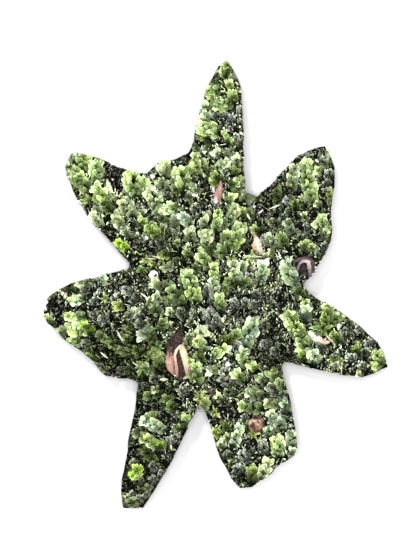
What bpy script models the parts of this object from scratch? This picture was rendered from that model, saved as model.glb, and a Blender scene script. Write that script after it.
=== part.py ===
"""Moss clump: a seven-armed patch of mossy ground, cut free and lying flat on its underside.

Places on the plan are read on a quarter-millimetre grid, x to the right and y down the page,
and plan() turns them into metres around the middle of the patch. Heights are metres above the
cut underside.
"""

import math
import random

import bmesh
import bpy
import numpy as np
from mathutils import Vector, noise
from mathutils.geometry import delaunay_2d_cdt

MM = 0.001
GRID = 0.25 * MM
PLAN_MIDDLE = Vector((215.5, 284.5))

SOIL_TOP = 4.3 * MM
MOSS_FOOT = 4.65 * MM
MOSS_TOP = 8.4 * MM
DOME_RISE = 1.6 * MM
DOME_REACH = 58 * MM
SWELL_RISE = 0.8 * MM
SWELL_SIZE = 11 * MM
EDGE_DROP = 0.9 * MM
TUFT_RISE = 1.4 * MM
TUFT_HOLLOW = 0.5 * MM
MOUND_RISE = 2.1 * MM
CRUMB_RISE = 1.7 * MM

OUTLINE_STEP = 2.6 * MM
OUTLINE_ROUGHNESS = 0.22 * MM
SOIL_SHRINK = 0.985
LATTICE_STEP = 1.95 * MM
CRUMB_STEP = 1.7 * MM
EDGE_MARGIN = 0.95 * MM
CRUMB_MARGIN = 0.6 * MM
RIDGE_MARGIN = 1.25 * MM
CLEARANCE = 0.36 * MM

LATTICE_REACH = Vector((48, 60)) * MM

LEAF_STEP = 0.6 * MM
LEAF_OUT, LEAF_IN = 1.2, 0.85
SHOOT_LIFT = 1.4 * MM

SCALE_THICKNESS = 0.7 * MM
SCALE_CROWN = 1.5 * MM
SCALE_BED = 0.3 * MM
CURL_WIDTH = 15 * GRID
CURL_WALL = 0.45 * MM
CURL_RISE = 1.9 * MM
BLADE_BED = 0.1 * MM
DENT_SPREAD = 0.85
DENT_DEPTH = 0.35

# Each run of the outline goes clockwise between two sharp corners, a tip or a valley.
OUTLINE_RUNS = (
    ((227, 61), (234, 70), (241, 88), (243.5, 120), (243.5, 175), (249, 207)),
    ((249, 207), (262, 193), (283, 172), (300, 154), (325, 146)),
    ((325, 146), (334, 168), (332, 205), (330, 240), (320, 262), (303, 284)),
    ((303, 284), (313, 297), (340, 311), (368, 333), (384, 352), (388, 367)),
    ((388, 367), (363, 377), (335, 373), (308, 367), (281, 361)),
    ((281, 361), (284, 380), (292, 410), (297, 437), (295, 454), (278, 467), (252, 487)),
    ((252, 487), (240, 488)),
    ((240, 488), (225, 468), (215, 440), (207, 415), (201, 403)),
    ((201, 403), (188, 425), (177, 452), (160, 481), (143, 508)),
    ((143, 508), (123, 508)),
    ((123, 508), (122, 480), (127, 450), (134, 412), (139, 383)),
    ((139, 383), (130, 379), (106, 376), (92, 360), (58, 333), (44, 317), (43, 306), (50, 295),
     (72, 284), (105, 275), (137, 267)),
    ((137, 267), (127, 260), (107, 238), (85, 212), (71, 185), (66, 168), (74, 152)),
    ((74, 152), (97, 158), (135, 173), (147, 174), (160, 162), (176, 160), (189, 153)),
    ((189, 153), (196, 130), (203, 102), (210, 81), (219, 67), (227, 61)),
)

# Bare soil shows through the carpet in these rounds: plan place and radius in millimetres.
BARE_PATCHES = (
    ((113, 171), 2.6), ((120, 187), 1.7), ((87, 208), 1.6), ((110, 227), 1.9), ((52, 306), 2.4),
    ((62, 324), 1.8), ((272, 189), 2.1), ((262, 214), 2.1), ((304, 156), 1.4), ((225, 412), 2.4),
    ((195, 142), 1.2), ((176, 281), 1.3), ((80, 310), 1.0), ((117, 373), 1.4), ((164, 414), 1.3),
    ((291, 340), 1.4), ((363, 357), 1.5), ((325, 208), 1.3), ((133, 455), 1.4), ((248, 444), 1.1),
)

# The large shoots of each region: tint, width on the plan, then places from tip to root.
SHOOTS = {
    "nw_arm": (
        ("fresh", 12, (85, 157), (83, 170)),
        ("fresh", 12, (75, 173), (82, 183), (90, 193)),
        ("fresh", 12, (98, 165), (97, 183)),
        ("fresh", 12, (97, 190), (107, 205)),
        ("fresh", 15, (131, 176), (138, 197)),
        ("pale", 12, (124, 203), (134, 217)),
        ("pale", 9, (117, 218), (124, 231)),
        ("pale", 14, (151, 194), (159, 209)),
        ("vivid", 8, (119, 243), (128, 250)),
    ),
    "shoulder": (
        ("pale", 11, (165, 165), (165, 178)),
        ("fresh", 13, (179, 173), (187, 191)),
        ("fresh", 8, (195, 157), (197, 175)),
        ("bluish", 8, (226, 163), (217, 169)),
        ("fresh", 8, (166, 211), (178, 206)),
        ("bluish", 9, (183, 217), (192, 226)),
        ("pale", 8, (235, 210), (230, 221)),
        ("fresh", 8, (218, 214), (216, 231)),
        ("fresh", 12, (240, 228), (235, 240), (227, 250)),
        ("pale", 9, (207, 234), (205, 246)),
        ("olive", 11, (152, 228), (158, 239)),
    ),
    "top_arm": (
        ("olive", 7, (227, 66), (226, 77)),
        ("fresh", 12, (209, 94), (221, 88)),
        ("fresh", 10, (217, 107), (234, 102)),
        ("fresh", 12, (201, 128), (220, 133)),
    ),
    "ne_arm": (
        ("pale", 10, (294, 170), (290, 190)),
        ("fresh", 12, (306, 165), (308, 185), (314, 206)),
        ("fresh", 9, (322, 219), (326, 231)),
    ),
    "middle": (
        ("fresh", 13, (188, 275), (196, 302)),
        ("fresh", 9, (214, 267), (215, 290)),
        ("pale", 10, (233, 265), (237, 282)),
        ("bluish", 11, (286, 264), (290, 276), (297, 287)),
        ("bluish", 12, (252, 322), (249, 335), (246, 348)),
        ("fresh", 9, (224, 348), (211, 356)),
    ),
    "west_arm": (
        ("fresh", 8, (69, 316), (86, 316)),
        ("fresh", 11, (73, 329), (91, 332)),
        ("bluish", 9, (75, 301), (86, 298)),
    ),
    "east_arm": (
        ("fresh", 13, (288, 316), (296, 331), (305, 347)),
        ("olive", 10, (327, 312), (323, 329)),
        ("fresh", 12, (377, 354), (379, 365)),
        ("bluish", 11, (312, 354), (314, 364)),
    ),
    "se_arm": (
        ("pale", 10, (249, 392), (263, 396)),
        ("bluish", 10, (271, 414), (283, 430)),
        ("fresh", 12, (276, 439), (280, 456)),
        ("pale", 10, (267, 462), (261, 479)),
        ("bluish", 8, (239, 427), (234, 445)),
    ),
    "sw_arm": (
        ("bluish", 9, (144, 421), (155, 425), (166, 430)),
        ("fresh", 10, (145, 438), (159, 446)),
        ("vivid", 8, (133, 474), (143, 470)),
    ),
}

# The smaller shoots are fused with the carpet as short ridges between two plan places.
MOUNDS = (
    ((73, 157), (76, 163)), ((94, 217), (104, 228)), ((143, 217), (141, 228)),
    ((127, 190), (124, 197)), ((237, 181), (232, 188)), ((231, 195), (229, 203)),
    ((204, 221), (201, 231)), ((243, 210), (244, 219)), ((164, 255), (171, 252)),
    ((193, 188), (197, 196)), ((188, 234), (191, 243)), ((187, 253), (190, 258)),
    ((204, 110), (213, 116)), ((231, 86), (232, 92)), ((226, 116), (231, 128)),
    ((215, 154), (226, 151)), ((208, 146), (220, 144)), ((236, 161), (236, 169)),
    ((328, 160), (323, 168)), ((297, 202), (294, 212)), ((286, 226), (296, 237)),
    ((305, 243), (308, 252)), ((265, 241), (277, 245)), ((219, 300), (223, 308)),
    ((262, 269), (260, 283)), ((248, 276), (246, 284)), ((155, 282), (166, 287)),
    ((159, 297), (163, 306)), ((243, 357), (257, 369)), ((191, 336), (186, 347)),
    ((198, 341), (205, 351)), ((163, 320), (169, 328)), ((152, 347), (159, 357)),
    ((212, 312), (217, 328)), ((193, 368), (195, 382)), ((233, 373), (245, 381)),
    ((211, 370), (221, 368)), ((76, 340), (86, 346)), ((125, 305), (118, 309)),
    ((47, 318), (51, 324)), ((142, 334), (166, 331)), ((132, 312), (121, 320)),
    ((82, 284), (95, 283)), ((108, 344), (118, 345)), ((307, 311), (307, 323)),
    ((334, 357), (340, 367)), ((304, 304), (310, 307)), ((347, 318), (349, 323)),
    ((300, 347), (310, 346)), ((271, 376), (278, 375)), ((244, 407), (260, 409)),
    ((291, 437), (290, 448)), ((251, 472), (253, 482)), ((262, 443), (262, 455)),
    ((268, 432), (268, 438)), ((242, 453), (247, 465)), ((216, 432), (221, 434)),
    ((269, 404), (283, 403)), ((213, 412), (217, 418)), ((260, 376), (266, 382)),
    ((186, 418), (185, 427)), ((169, 407), (178, 406)), ((152, 466), (158, 467)),
    ((152, 480), (155, 485)), ((151, 392), (168, 392)), ((138, 498), (144, 503)),
    ((127, 478), (127, 490)), ((172, 440), (171, 447)), ((172, 291), (182, 303)),
)

# Base colour of each material, then its roughness.
FINISHES = {
    "wet_soil": ((0.030, 0.024, 0.016), 0.75),
    "moss_carpet": ((0.110, 0.150, 0.060), 0.70),
    "leaf_fresh": ((0.330, 0.480, 0.150), 0.45),
    "leaf_pale": ((0.400, 0.500, 0.250), 0.45),
    "leaf_vivid": ((0.280, 0.500, 0.060), 0.45),
    "leaf_bluish": ((0.330, 0.480, 0.300), 0.45),
    "leaf_olive": ((0.200, 0.250, 0.080), 0.50),
    "bud_scale": ((0.320, 0.190, 0.150), 0.55),
    "dry_straw": ((0.640, 0.560, 0.420), 0.60),
    "white_lime": ((0.800, 0.800, 0.760), 0.45),
    "seed_brown": ((0.260, 0.150, 0.090), 0.35),
    "dead_leaf": ((0.190, 0.110, 0.110), 0.60),
    "dead_wood": ((0.150, 0.110, 0.080), 0.80),
}

# What lies on the carpet: (x, y, half width, lowest height) samples of each shoot and loose piece.
footprints = []


def clear_scene():
    for thing in list(bpy.data.objects):
        bpy.data.objects.remove(thing, do_unlink=True)


def plan(x, y):
    """A place on the plan grid, as metres from the middle of the patch."""
    return Vector(((x - PLAN_MIDDLE.x) * GRID, (PLAN_MIDDLE.y - y) * GRID))


def material(name):
    colour, roughness = FINISHES[name]
    made = bpy.data.materials.get(name) or bpy.data.materials.new(name)
    made.use_nodes = True
    shader = made.node_tree.nodes["Principled BSDF"]
    shader.inputs["Base Color"].default_value = (*colour, 1)
    shader.inputs["Roughness"].default_value = roughness
    shader.inputs["Metallic"].default_value = 0
    return made


def add_solid(name, mesh, finish, smooth=False):
    """Turns a closed bmesh into an object with outward faces."""
    bmesh.ops.recalc_face_normals(mesh, faces=mesh.faces)
    data = bpy.data.meshes.new(name)
    mesh.to_mesh(data)
    mesh.free()
    data.materials.append(material(finish))
    if smooth:
        data.shade_smooth()
        data.set_sharp_from_angle(angle=math.radians(50))
    made = bpy.data.objects.new(name, data)
    bpy.context.collection.objects.link(made)
    return made


def curve_through(points, step):
    """Points about a step apart on a smooth curve through the given ones."""
    before_first = points[0] * 2 - points[1]
    after_last = points[-1] * 2 - points[-2]
    ends = [before_first, *points, after_last]
    found = []
    for before, start, end, after in zip(ends, ends[1:], ends[2:], ends[3:]):
        count = max(1, round((end - start).length / step))
        for index in range(count):
            t = index / count
            straight = start * 2 + (end - before) * t
            bend = (before * 2 - start * 5 + end * 4 - after) * t**2
            twist = (start * 3 - before - end * 3 + after) * t**3
            found.append((straight + bend + twist) / 2)
    return [*found, points[-1]]


def patch_outline(rng):
    """The clockwise outline: corners stay where they are, the runs between are a little ragged."""
    found = []
    for run in OUTLINE_RUNS:
        curve = curve_through([plan(*place) for place in run], OUTLINE_STEP)
        found.append(curve[0])
        for point in curve[1:-1]:
            found.append(point + Vector((rng.uniform(-1, 1), rng.uniform(-1, 1))) * OUTLINE_ROUGHNESS)
    return found


def ragged_round(centre, radius, rng):
    count = max(7, round(math.tau * radius / (1.5 * MM)))
    found = []
    for index in range(count):
        angle = math.tau * index / count
        reach = radius * rng.uniform(0.85, 1.15)
        found.append(centre + Vector((math.cos(angle), math.sin(angle))) * reach)
    return found


def sides_of(loop):
    return list(zip(loop, [*loop[1:], loop[0]]))


def inside(point, sides):
    """Whether a point is within closed loops of sides, by the crossings to its right."""
    x, y = point
    crossings = 0
    for a, b in sides:
        if (a[1] > y) != (b[1] > y):
            crossings += x < a[0] + (y - a[1]) * (b[0] - a[0]) / (b[1] - a[1])
    return crossings % 2 == 1


def inside_any(point, loops):
    return any(inside(point, sides_of(loop)) for loop in loops)


def clear_of(point, loops, margin):
    """Whether a point keeps a margin from every side of the loops."""
    for loop in loops:
        for a, b in sides_of(loop):
            along = b - a
            t = min(1, max(0, (point - a).dot(along) / max(along.length_squared, 1e-12)))
            if (point - a - along * t).length < margin:
                return False
    return True


def dome_height(point):
    """The carpet's broad surface: low towards the arms' tips, with wide swells."""
    dome = DOME_RISE * max(0, 1 - (point.length / DOME_REACH) ** 2)
    swell = SWELL_RISE * noise.noise(Vector((point.x, point.y, 0)) / SWELL_SIZE)
    return MOSS_TOP + dome + swell


def gap_to_segment(spot, start, end):
    """Distances from one place to many segments, given as rows of x and y."""
    along = end - start
    reach = np.maximum((along**2).sum(axis=1), 1e-18)
    t = np.clip(((spot - start) * along).sum(axis=1) / reach, 0, 1)
    return np.hypot(*(spot - start - along * t[:, None]).T)


def turn(start, end, spot):
    """Which side of many directed segments one place lies on."""
    along, out = end - start, spot - start
    return along[:, 0] * out[:, 1] - along[:, 1] * out[:, 0]


def stamped(places, triangles, heights):
    """Lowers every triangle that whatever lies on the carpet covers, so that a gap stays."""
    flat = np.array([tuple(place) for place in places])
    faces = np.array(triangles)
    a, b, c = (flat[faces[:, corner]] for corner in range(3))
    low = np.array(heights)
    for x, y, reach, floor in footprints:
        spot = np.array((x, y))
        gap = np.minimum.reduce([gap_to_segment(spot, *ends) for ends in ((a, b), (b, c), (c, a))])
        turns = np.array([turn(a, b, spot), turn(b, c, spot), turn(c, a, spot)])
        within = (turns >= 0).all(axis=0) | (turns <= 0).all(axis=0)
        touched = np.unique(faces[(gap < reach + CLEARANCE) | within])
        low[touched] = np.minimum(low[touched], floor - CLEARANCE)
    return low


def triangles_within(points, edges, is_within):
    """Triangulates a flat region: its points, its triangles, and the given points each comes from."""
    made, _, faces, sources, _, _ = delaunay_2d_cdt(points, edges, [], 0, 1e-7, True)
    kept = []
    for face in faces:
        centre = [sum(made[index][axis] for index in face) / 3 for axis in (0, 1)]
        if is_within(centre):
            kept.append(tuple(face))
    return made, kept, sources


def loop_edges(loops):
    """The edges around each loop, as numbers into the loops' points laid end to end."""
    edges = []
    first = 0
    for loop in loops:
        edges += [(first + i, first + (i + 1) % len(loop)) for i in range(len(loop))]
        first += len(loop)
    return edges


def rim_of(triangles):
    """The edges that only one triangle has."""
    seen = {}
    for a, b, c in triangles:
        for edge in ((a, b), (b, c), (c, a)):
            key = tuple(sorted(edge))
            seen[key] = seen.get(key, 0) + 1
    return [edge for edge, count in seen.items() if count == 1]


def add_layer(name, finish, outline, holes, creases, inner, foot, height_of):
    """A flat-bottomed layer whose top is a relief over the creases, the inner points and the rim."""
    loops = [outline, *holes, *creases]
    points = [point for loop in loops for point in loop] + inner
    made, triangles, sources = triangles_within(
        points, loop_edges(loops), lambda spot: inside_any(spot, [outline]) and not inside_any(spot, holes))
    used = sorted({index for triangle in triangles for index in triangle})
    rim = rim_of(triangles)
    on_rim = sorted({index for edge in rim for index in edge})
    first_inner = len(points) - len(inner)
    numbers = [min(sources[i]) - first_inner if sources[i] else -1 for i in used]
    renumbered = {i: number for number, i in enumerate(used)}
    faces = [[renumbered[i] for i in triangle] for triangle in triangles]
    heights = height_of([made[i] for i in used], numbers, [i in on_rim for i in used], faces)

    mesh = bmesh.new()
    top = {i: mesh.verts.new((*made[i], z)) for i, z in zip(used, heights)}
    bottom = {i: mesh.verts.new((*made[i], foot)) for i in on_rim}
    for a, b, c in triangles:
        mesh.faces.new((top[a], top[b], top[c]))
    for a, b in rim:
        mesh.faces.new((top[a], top[b], bottom[b], bottom[a]))
    place = {i: number for number, i in enumerate(on_rim)}
    rim_points = [made[i] for i in on_rim]
    rim_edges = [(place[a], place[b]) for a, b in rim]
    rim_sides = [(made[a], made[b]) for a, b in rim]
    _, underside, origins = triangles_within(rim_points, rim_edges, lambda spot: inside(spot, rim_sides))
    for triangle in underside:
        mesh.faces.new([bottom[on_rim[origins[index][0]]] for index in triangle])
    return add_solid(name, mesh, finish)


def lattice(step):
    """A triangular lattice over the whole patch: each point and whether it is a tuft's top."""
    row_step = step * math.sin(math.radians(60))
    rows = round(LATTICE_REACH.y / row_step)
    columns = round(LATTICE_REACH.x / step)
    for row in range(-rows, rows + 1):
        for column in range(-columns, columns + 1):
            place = Vector(((column + (row % 2) / 2) * step, row * row_step))
            yield place, (column + (row % 2) + (row // 2)) % 3 == 0


def mound_points():
    """The ridge points of the small shoots, a leaf or two apart."""
    found = []
    for tip, root in MOUNDS:
        found += curve_through([plan(*tip), plan(*root)], 1.5 * MM)
    return found


def add_moss_mat(outline, patches, rng):
    ridges = [
        place for place in mound_points()
        if inside_any(place, [outline]) and clear_of(place, [outline, *patches], EDGE_MARGIN)
    ]
    points = list(ridges)
    rises = [MOUND_RISE * rng.uniform(0.8, 1.1) for _ in ridges]
    for place, tuft in lattice(LATTICE_STEP):
        place = place + Vector((rng.uniform(-1, 1), rng.uniform(-1, 1))) * LATTICE_STEP * 0.2
        near_ridge = any((place - ridge).length < RIDGE_MARGIN for ridge in ridges)
        mossy = inside_any(place, [outline]) and not inside_any(place, patches)
        if mossy and not near_ridge and clear_of(place, [outline, *patches], EDGE_MARGIN):
            points.append(place)
            rises.append(TUFT_RISE * rng.uniform(0.5, 1.2) if tuft else -TUFT_HOLLOW * rng.uniform(0.2, 1))

    def relief(places, numbers, on_rim, triangles):
        heights = []
        for place, number, rim in zip(places, numbers, on_rim):
            rise = -EDGE_DROP if rim or number < 0 else rises[number]
            heights.append(dome_height(place) + rise)
        return stamped(places, triangles, heights)

    return add_layer("moss_mat", "moss_carpet", outline, patches, [], points, MOSS_FOOT, relief)


def add_soil_mat(outline, patches, rng):
    """The soil is level under the moss and crumbly where a patch is bare."""
    crumbs = []
    for place, _ in lattice(CRUMB_STEP):
        place = place + Vector((rng.uniform(-1, 1), rng.uniform(-1, 1))) * CRUMB_STEP * 0.25
        bare = inside_any(place, [outline]) and inside_any(place, patches)
        if bare and clear_of(place, [outline, *patches], CRUMB_MARGIN):
            crumbs.append(place)

    def relief(places, numbers, on_rim, triangles):
        return [SOIL_TOP + (CRUMB_RISE * rng.uniform(0.15, 1) if number >= 0 else 0) for number in numbers]

    return add_layer("soil_mat", "wet_soil", outline, [], patches, crumbs, 0, relief)


def close_tube(mesh, rows):
    """Joins rows of points into a tube with both ends capped."""
    rings = [[mesh.verts.new(point) for point in row] for row in rows]
    for ring, following in zip(rings, rings[1:]):
        for i in range(len(ring)):
            j = (i + 1) % len(ring)
            mesh.faces.new((ring[i], ring[j], following[j], following[i]))
    mesh.faces.new(rings[0])
    mesh.faces.new(rings[-1])


def add_shoot(name, finish, width, places):
    """A leafy shoot from its root up to its tip: leaves alternate, so its edges are toothed."""
    half = width * GRID / 2
    axis = curve_through([plan(*place) for place in reversed(places)], LEAF_STEP)
    last = len(axis) - 1
    mesh = bmesh.new()
    rows = []
    for index, place in enumerate(axis):
        along = (axis[min(index + 1, last)] - axis[max(index - 1, 0)]).normalized()
        side = Vector((-along.y, along.x, 0))
        u = index / last
        swell = half * math.sqrt(math.sin(math.pi * (0.13 + 0.77 * u)))
        odd = index % 2
        left = swell * (LEAF_OUT if odd else LEAF_IN)
        right = swell * (LEAF_IN if odd else LEAF_OUT)
        crest = swell * (0.95 if odd else 0.72)
        belly = swell * 0.5
        centre = Vector((*place, dome_height(place) + belly + SHOOT_LIFT * u**1.4))
        rows.append((
            centre + side * left - Vector((0, 0, belly * 0.3)),
            centre + Vector((0, 0, crest)),
            centre - side * right - Vector((0, 0, belly * 0.3)),
            centre - Vector((0, 0, belly)),
        ))
        footprints.append((place.x, place.y, max(left, right), centre.z - belly))
    close_tube(mesh, rows)
    return add_solid(name, mesh, finish)


def add_blade(name, finish, places, widths, thickness, sides=6):
    """A long thin piece lying along its places: widths are plan widths, thickness in metres."""
    middle = curve_through([plan(*place) for place in places], 1.1 * MM)
    last = len(middle) - 1
    mesh = bmesh.new()
    rows = []
    for index, place in enumerate(middle):
        along = (middle[min(index + 1, last)] - middle[max(index - 1, 0)]).normalized()
        side = Vector((-along.y, along.x, 0))
        where = index / last * (len(widths) - 1)
        before = min(int(where), len(widths) - 2)
        width = widths[before] + (widths[before + 1] - widths[before]) * (where - before)
        half = width * GRID / 2
        centre = Vector((*place, dome_height(place) + BLADE_BED + thickness / 2))
        ring = []
        for corner in range(sides):
            angle = math.tau * corner / sides
            ring.append(centre + side * half * math.cos(angle)
                        + Vector((0, 0, thickness / 2 * math.sin(angle))))
        rows.append(ring)
        footprints.append((place.x, place.y, half, centre.z - thickness / 2))
    close_tube(mesh, rows)
    return add_solid(name, mesh, finish, smooth=True)


def add_pebble(name, finish, place, sizes, turn, rng, roughness=0.06, hollow=None):
    """A rounded lump: full sizes in metres, turned on the plan, with an optional dent."""
    flat = plan(*place)
    mesh = bmesh.new()
    bmesh.ops.create_icosphere(mesh, subdivisions=2, radius=0.5)
    centre = Vector((*flat, dome_height(flat) + sizes[2] * 0.42))
    for vert in mesh.verts:
        outward = vert.co.normalized()
        vert.co *= 1 + rng.uniform(-roughness, roughness)
        if hollow and outward.dot(Vector(hollow).normalized()) > DENT_SPREAD:
            vert.co *= DENT_DEPTH
        x, y, z = (vert.co[axis] * sizes[axis] for axis in range(3))
        vert.co = centre + Vector((x * math.cos(turn) - y * math.sin(turn),
                                   x * math.sin(turn) + y * math.cos(turn), z))
    lowest = min(vert.co.z for vert in mesh.verts)
    footprints.append((flat.x, flat.y, max(sizes[0], sizes[1]) / 2, lowest))
    return add_solid(name, mesh, finish, smooth=True)


def add_large_bud_scale():
    """A hooded scale, dark and pointed above, split below into a wide lobe and a narrow one."""
    top_rim = ((184, 329), (177, 335), (170, 345), (165, 355), (166, 364), (171, 371), (176, 374),
               (177.5, 362), (178, 351), (179.5, 362), (181, 375), (188, 373), (187, 362),
               (186, 350), (186, 338))
    rim = [plan(*place) for place in top_rim]
    spine = [plan(183, 333), plan(177, 344), plan(172, 358), plan(183, 358)]
    rim_edges = [(i, (i + 1) % len(rim)) for i in range(len(rim))]
    made, triangles, sources = triangles_within([*rim, *spine], rim_edges, lambda spot: inside_any(spot, [rim]))
    mesh = bmesh.new()
    levels = []
    for level in (0, SCALE_THICKNESS):
        verts = []
        for point, source in zip(made, sources):
            arch = SCALE_CROWN if min(source) >= len(rim) else 0
            verts.append(mesh.verts.new((*point, dome_height(point) + SCALE_BED + arch + level)))
        levels.append(verts)
        for triangle in triangles:
            mesh.faces.new([verts[index] for index in triangle])
    low, high = levels
    for a, b in rim_of(triangles):
        mesh.faces.new((low[a], low[b], high[b], high[a]))
    for vert in low[: len(rim)]:
        footprints.append((vert.co.x, vert.co.y, 1.2 * MM, vert.co.z))
    return add_solid("large_bud_scale", mesh, "bud_scale")


def add_curled_leaf():
    """A dead leaf curled into a hood: an arched strip that opens to the south-east."""
    mesh = bmesh.new()
    rows = []
    for step in range(4):
        u = step / 3
        flat = plan(302 + 3 * u, 260 + 18 * u)
        half = CURL_WIDTH / 2 * (0.52 + 0.5 * math.sin(math.pi * (0.15 + 0.7 * u)))
        foot = dome_height(flat) + 0.2 * MM
        outer = []
        inner = []
        for corner in range(6):
            angle = math.pi * corner / 5
            across, up = math.cos(angle), math.sin(angle)
            outer.append(Vector((flat.x + half * across, flat.y, foot + CURL_RISE * up)))
            inner.append(Vector((flat.x + (half - CURL_WALL) * across, flat.y,
                                 foot + (CURL_RISE - CURL_WALL) * up)))
        rows.append([*outer, *reversed(inner)])
        footprints.append((flat.x, flat.y, half, foot))
    close_tube(mesh, rows)
    return add_solid("curled_leaf", mesh, "dead_leaf")


def add_loose_pieces(rng):
    add_large_bud_scale()
    add_curled_leaf()
    add_blade("small_bud_scale", "bud_scale", ((219.5, 181), (218, 193), (216.5, 206)), (3, 7, 7, 5), 1.0 * MM)
    add_blade("tan_splinter", "dry_straw", ((252, 229), (256, 240), (261, 251)), (5, 6.5, 5.5, 7, 4.5), 1.2 * MM)
    add_blade("straw", "dry_straw", ((62, 292), (66, 297), (70, 301)), (4, 3.5, 1.5), 0.6 * MM)
    add_blade("loose_leaf", "dry_straw", ((107.5, 180), (109, 187), (111, 194)), (2, 5, 5, 3), 0.5 * MM)
    add_pebble("white_shell", "white_lime", (153.5, 275), (2.2 * MM, 2.3 * MM, 1.7 * MM), 0.2, rng,
               hollow=(0.6, -0.6, 0.5))
    add_pebble("brown_seed", "seed_brown", (257, 423), (3.9 * MM, 3.7 * MM, 3.0 * MM), 0.4, rng)
    add_pebble("pale_seed", "dry_straw", (318.5, 337), (5.0 * MM, 2.3 * MM, 1.9 * MM), -0.5, rng, 0.03)
    add_pebble("wood_flake", "dead_wood", (209.5, 391), (3.0 * MM, 1.6 * MM, 1.0 * MM), -0.5, rng, 0.10)


def main():
    clear_scene()
    rng = random.Random(7)
    outline = patch_outline(rng)
    patches = [ragged_round(plan(*place), radius * MM, rng) for place, radius in BARE_PATCHES]
    for region, shoots in SHOOTS.items():
        for number, (tint, width, *places) in enumerate(shoots, 1):
            add_shoot(f"shoot_{region}_{number}", f"leaf_{tint}", width, places)
    add_loose_pieces(rng)
    add_moss_mat(outline, patches, rng)
    add_soil_mat([point * SOIL_SHRINK for point in outline], patches, rng)


main()
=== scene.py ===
"""Moss clump: the looks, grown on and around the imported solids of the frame.

Plan places are on the same quarter-millimetre grid as in the part's source: x to the right,
y down the page. plan() turns them into metres, and dome_height() says how high the carpet lies
there. Every piece is a plain mesh in place, riding on the frame's one body.
"""

import math
import random

import bmesh
import bpy
import numpy as np
from mathutils import Matrix, Vector, noise


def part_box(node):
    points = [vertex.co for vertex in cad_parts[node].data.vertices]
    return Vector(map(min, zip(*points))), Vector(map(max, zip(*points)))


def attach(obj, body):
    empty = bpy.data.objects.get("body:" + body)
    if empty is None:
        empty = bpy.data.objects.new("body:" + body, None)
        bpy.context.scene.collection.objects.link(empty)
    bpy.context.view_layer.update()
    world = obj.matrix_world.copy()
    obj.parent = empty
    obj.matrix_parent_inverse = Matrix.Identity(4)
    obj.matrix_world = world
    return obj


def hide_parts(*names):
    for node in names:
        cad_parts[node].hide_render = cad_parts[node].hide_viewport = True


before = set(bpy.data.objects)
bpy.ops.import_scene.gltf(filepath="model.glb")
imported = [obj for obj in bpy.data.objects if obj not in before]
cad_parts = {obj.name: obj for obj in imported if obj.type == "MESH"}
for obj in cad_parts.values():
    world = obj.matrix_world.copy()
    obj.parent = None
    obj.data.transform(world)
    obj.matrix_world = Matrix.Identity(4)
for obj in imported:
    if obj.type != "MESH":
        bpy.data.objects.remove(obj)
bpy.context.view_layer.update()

MM = 0.001
GRID = 0.25 * MM
PLAN_MIDDLE = Vector((215.5, 284.5))
PICTURE_SIZE = Vector((420, 560))
MOSS_TOP = 8.4 * MM
DOME_RISE = 1.6 * MM
DOME_REACH = 58 * MM
SWELL_RISE = 0.8 * MM
SWELL_SIZE = 11 * MM
SHOOT_LIFT = 1.4 * MM

# The large shoots, one for each node: tint, width on the plan, then places from tip to root.
SHOOTS = {
    "nw_arm": (
        ("fresh", 12, (85, 157), (83, 170)),
        ("fresh", 12, (75, 173), (82, 183), (90, 193)),
        ("fresh", 12, (98, 165), (97, 183)),
        ("fresh", 12, (97, 190), (107, 205)),
        ("fresh", 15, (131, 176), (138, 197)),
        ("pale", 12, (124, 203), (134, 217)),
        ("pale", 9, (117, 218), (124, 231)),
        ("pale", 14, (151, 194), (159, 209)),
        ("vivid", 8, (119, 243), (128, 250)),
    ),
    "shoulder": (
        ("pale", 11, (165, 165), (165, 178)),
        ("fresh", 13, (179, 173), (187, 191)),
        ("fresh", 8, (195, 157), (197, 175)),
        ("bluish", 8, (226, 163), (217, 169)),
        ("fresh", 8, (166, 211), (178, 206)),
        ("bluish", 9, (183, 217), (192, 226)),
        ("pale", 8, (235, 210), (230, 221)),
        ("fresh", 8, (218, 214), (216, 231)),
        ("fresh", 12, (240, 228), (235, 240), (227, 250)),
        ("pale", 9, (207, 234), (205, 246)),
        ("olive", 11, (152, 228), (158, 239)),
    ),
    "top_arm": (
        ("olive", 7, (227, 66), (226, 77)),
        ("fresh", 12, (209, 94), (221, 88)),
        ("fresh", 10, (217, 107), (234, 102)),
        ("fresh", 12, (201, 128), (220, 133)),
    ),
    "ne_arm": (
        ("pale", 10, (294, 170), (290, 190)),
        ("fresh", 12, (306, 165), (308, 185), (314, 206)),
        ("fresh", 9, (322, 219), (326, 231)),
    ),
    "middle": (
        ("fresh", 13, (188, 275), (196, 302)),
        ("fresh", 9, (214, 267), (215, 290)),
        ("pale", 10, (233, 265), (237, 282)),
        ("bluish", 11, (286, 264), (290, 276), (297, 287)),
        ("bluish", 12, (252, 322), (249, 335), (246, 348)),
        ("fresh", 9, (224, 348), (211, 356)),
    ),
    "west_arm": (
        ("fresh", 8, (69, 316), (86, 316)),
        ("fresh", 11, (73, 329), (91, 332)),
        ("bluish", 9, (75, 301), (86, 298)),
    ),
    "east_arm": (
        ("fresh", 13, (288, 316), (296, 331), (305, 347)),
        ("olive", 10, (327, 312), (323, 329)),
        ("fresh", 12, (377, 354), (379, 365)),
        ("bluish", 11, (312, 354), (314, 364)),
    ),
    "se_arm": (
        ("pale", 10, (249, 392), (263, 396)),
        ("bluish", 10, (271, 414), (283, 430)),
        ("fresh", 12, (276, 439), (280, 456)),
        ("pale", 10, (267, 462), (261, 479)),
        ("bluish", 8, (239, 427), (234, 445)),
    ),
    "sw_arm": (
        ("bluish", 9, (144, 421), (155, 425), (166, 430)),
        ("fresh", 10, (145, 438), (159, 446)),
        ("vivid", 8, (133, 474), (143, 470)),
    ),
}

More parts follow.
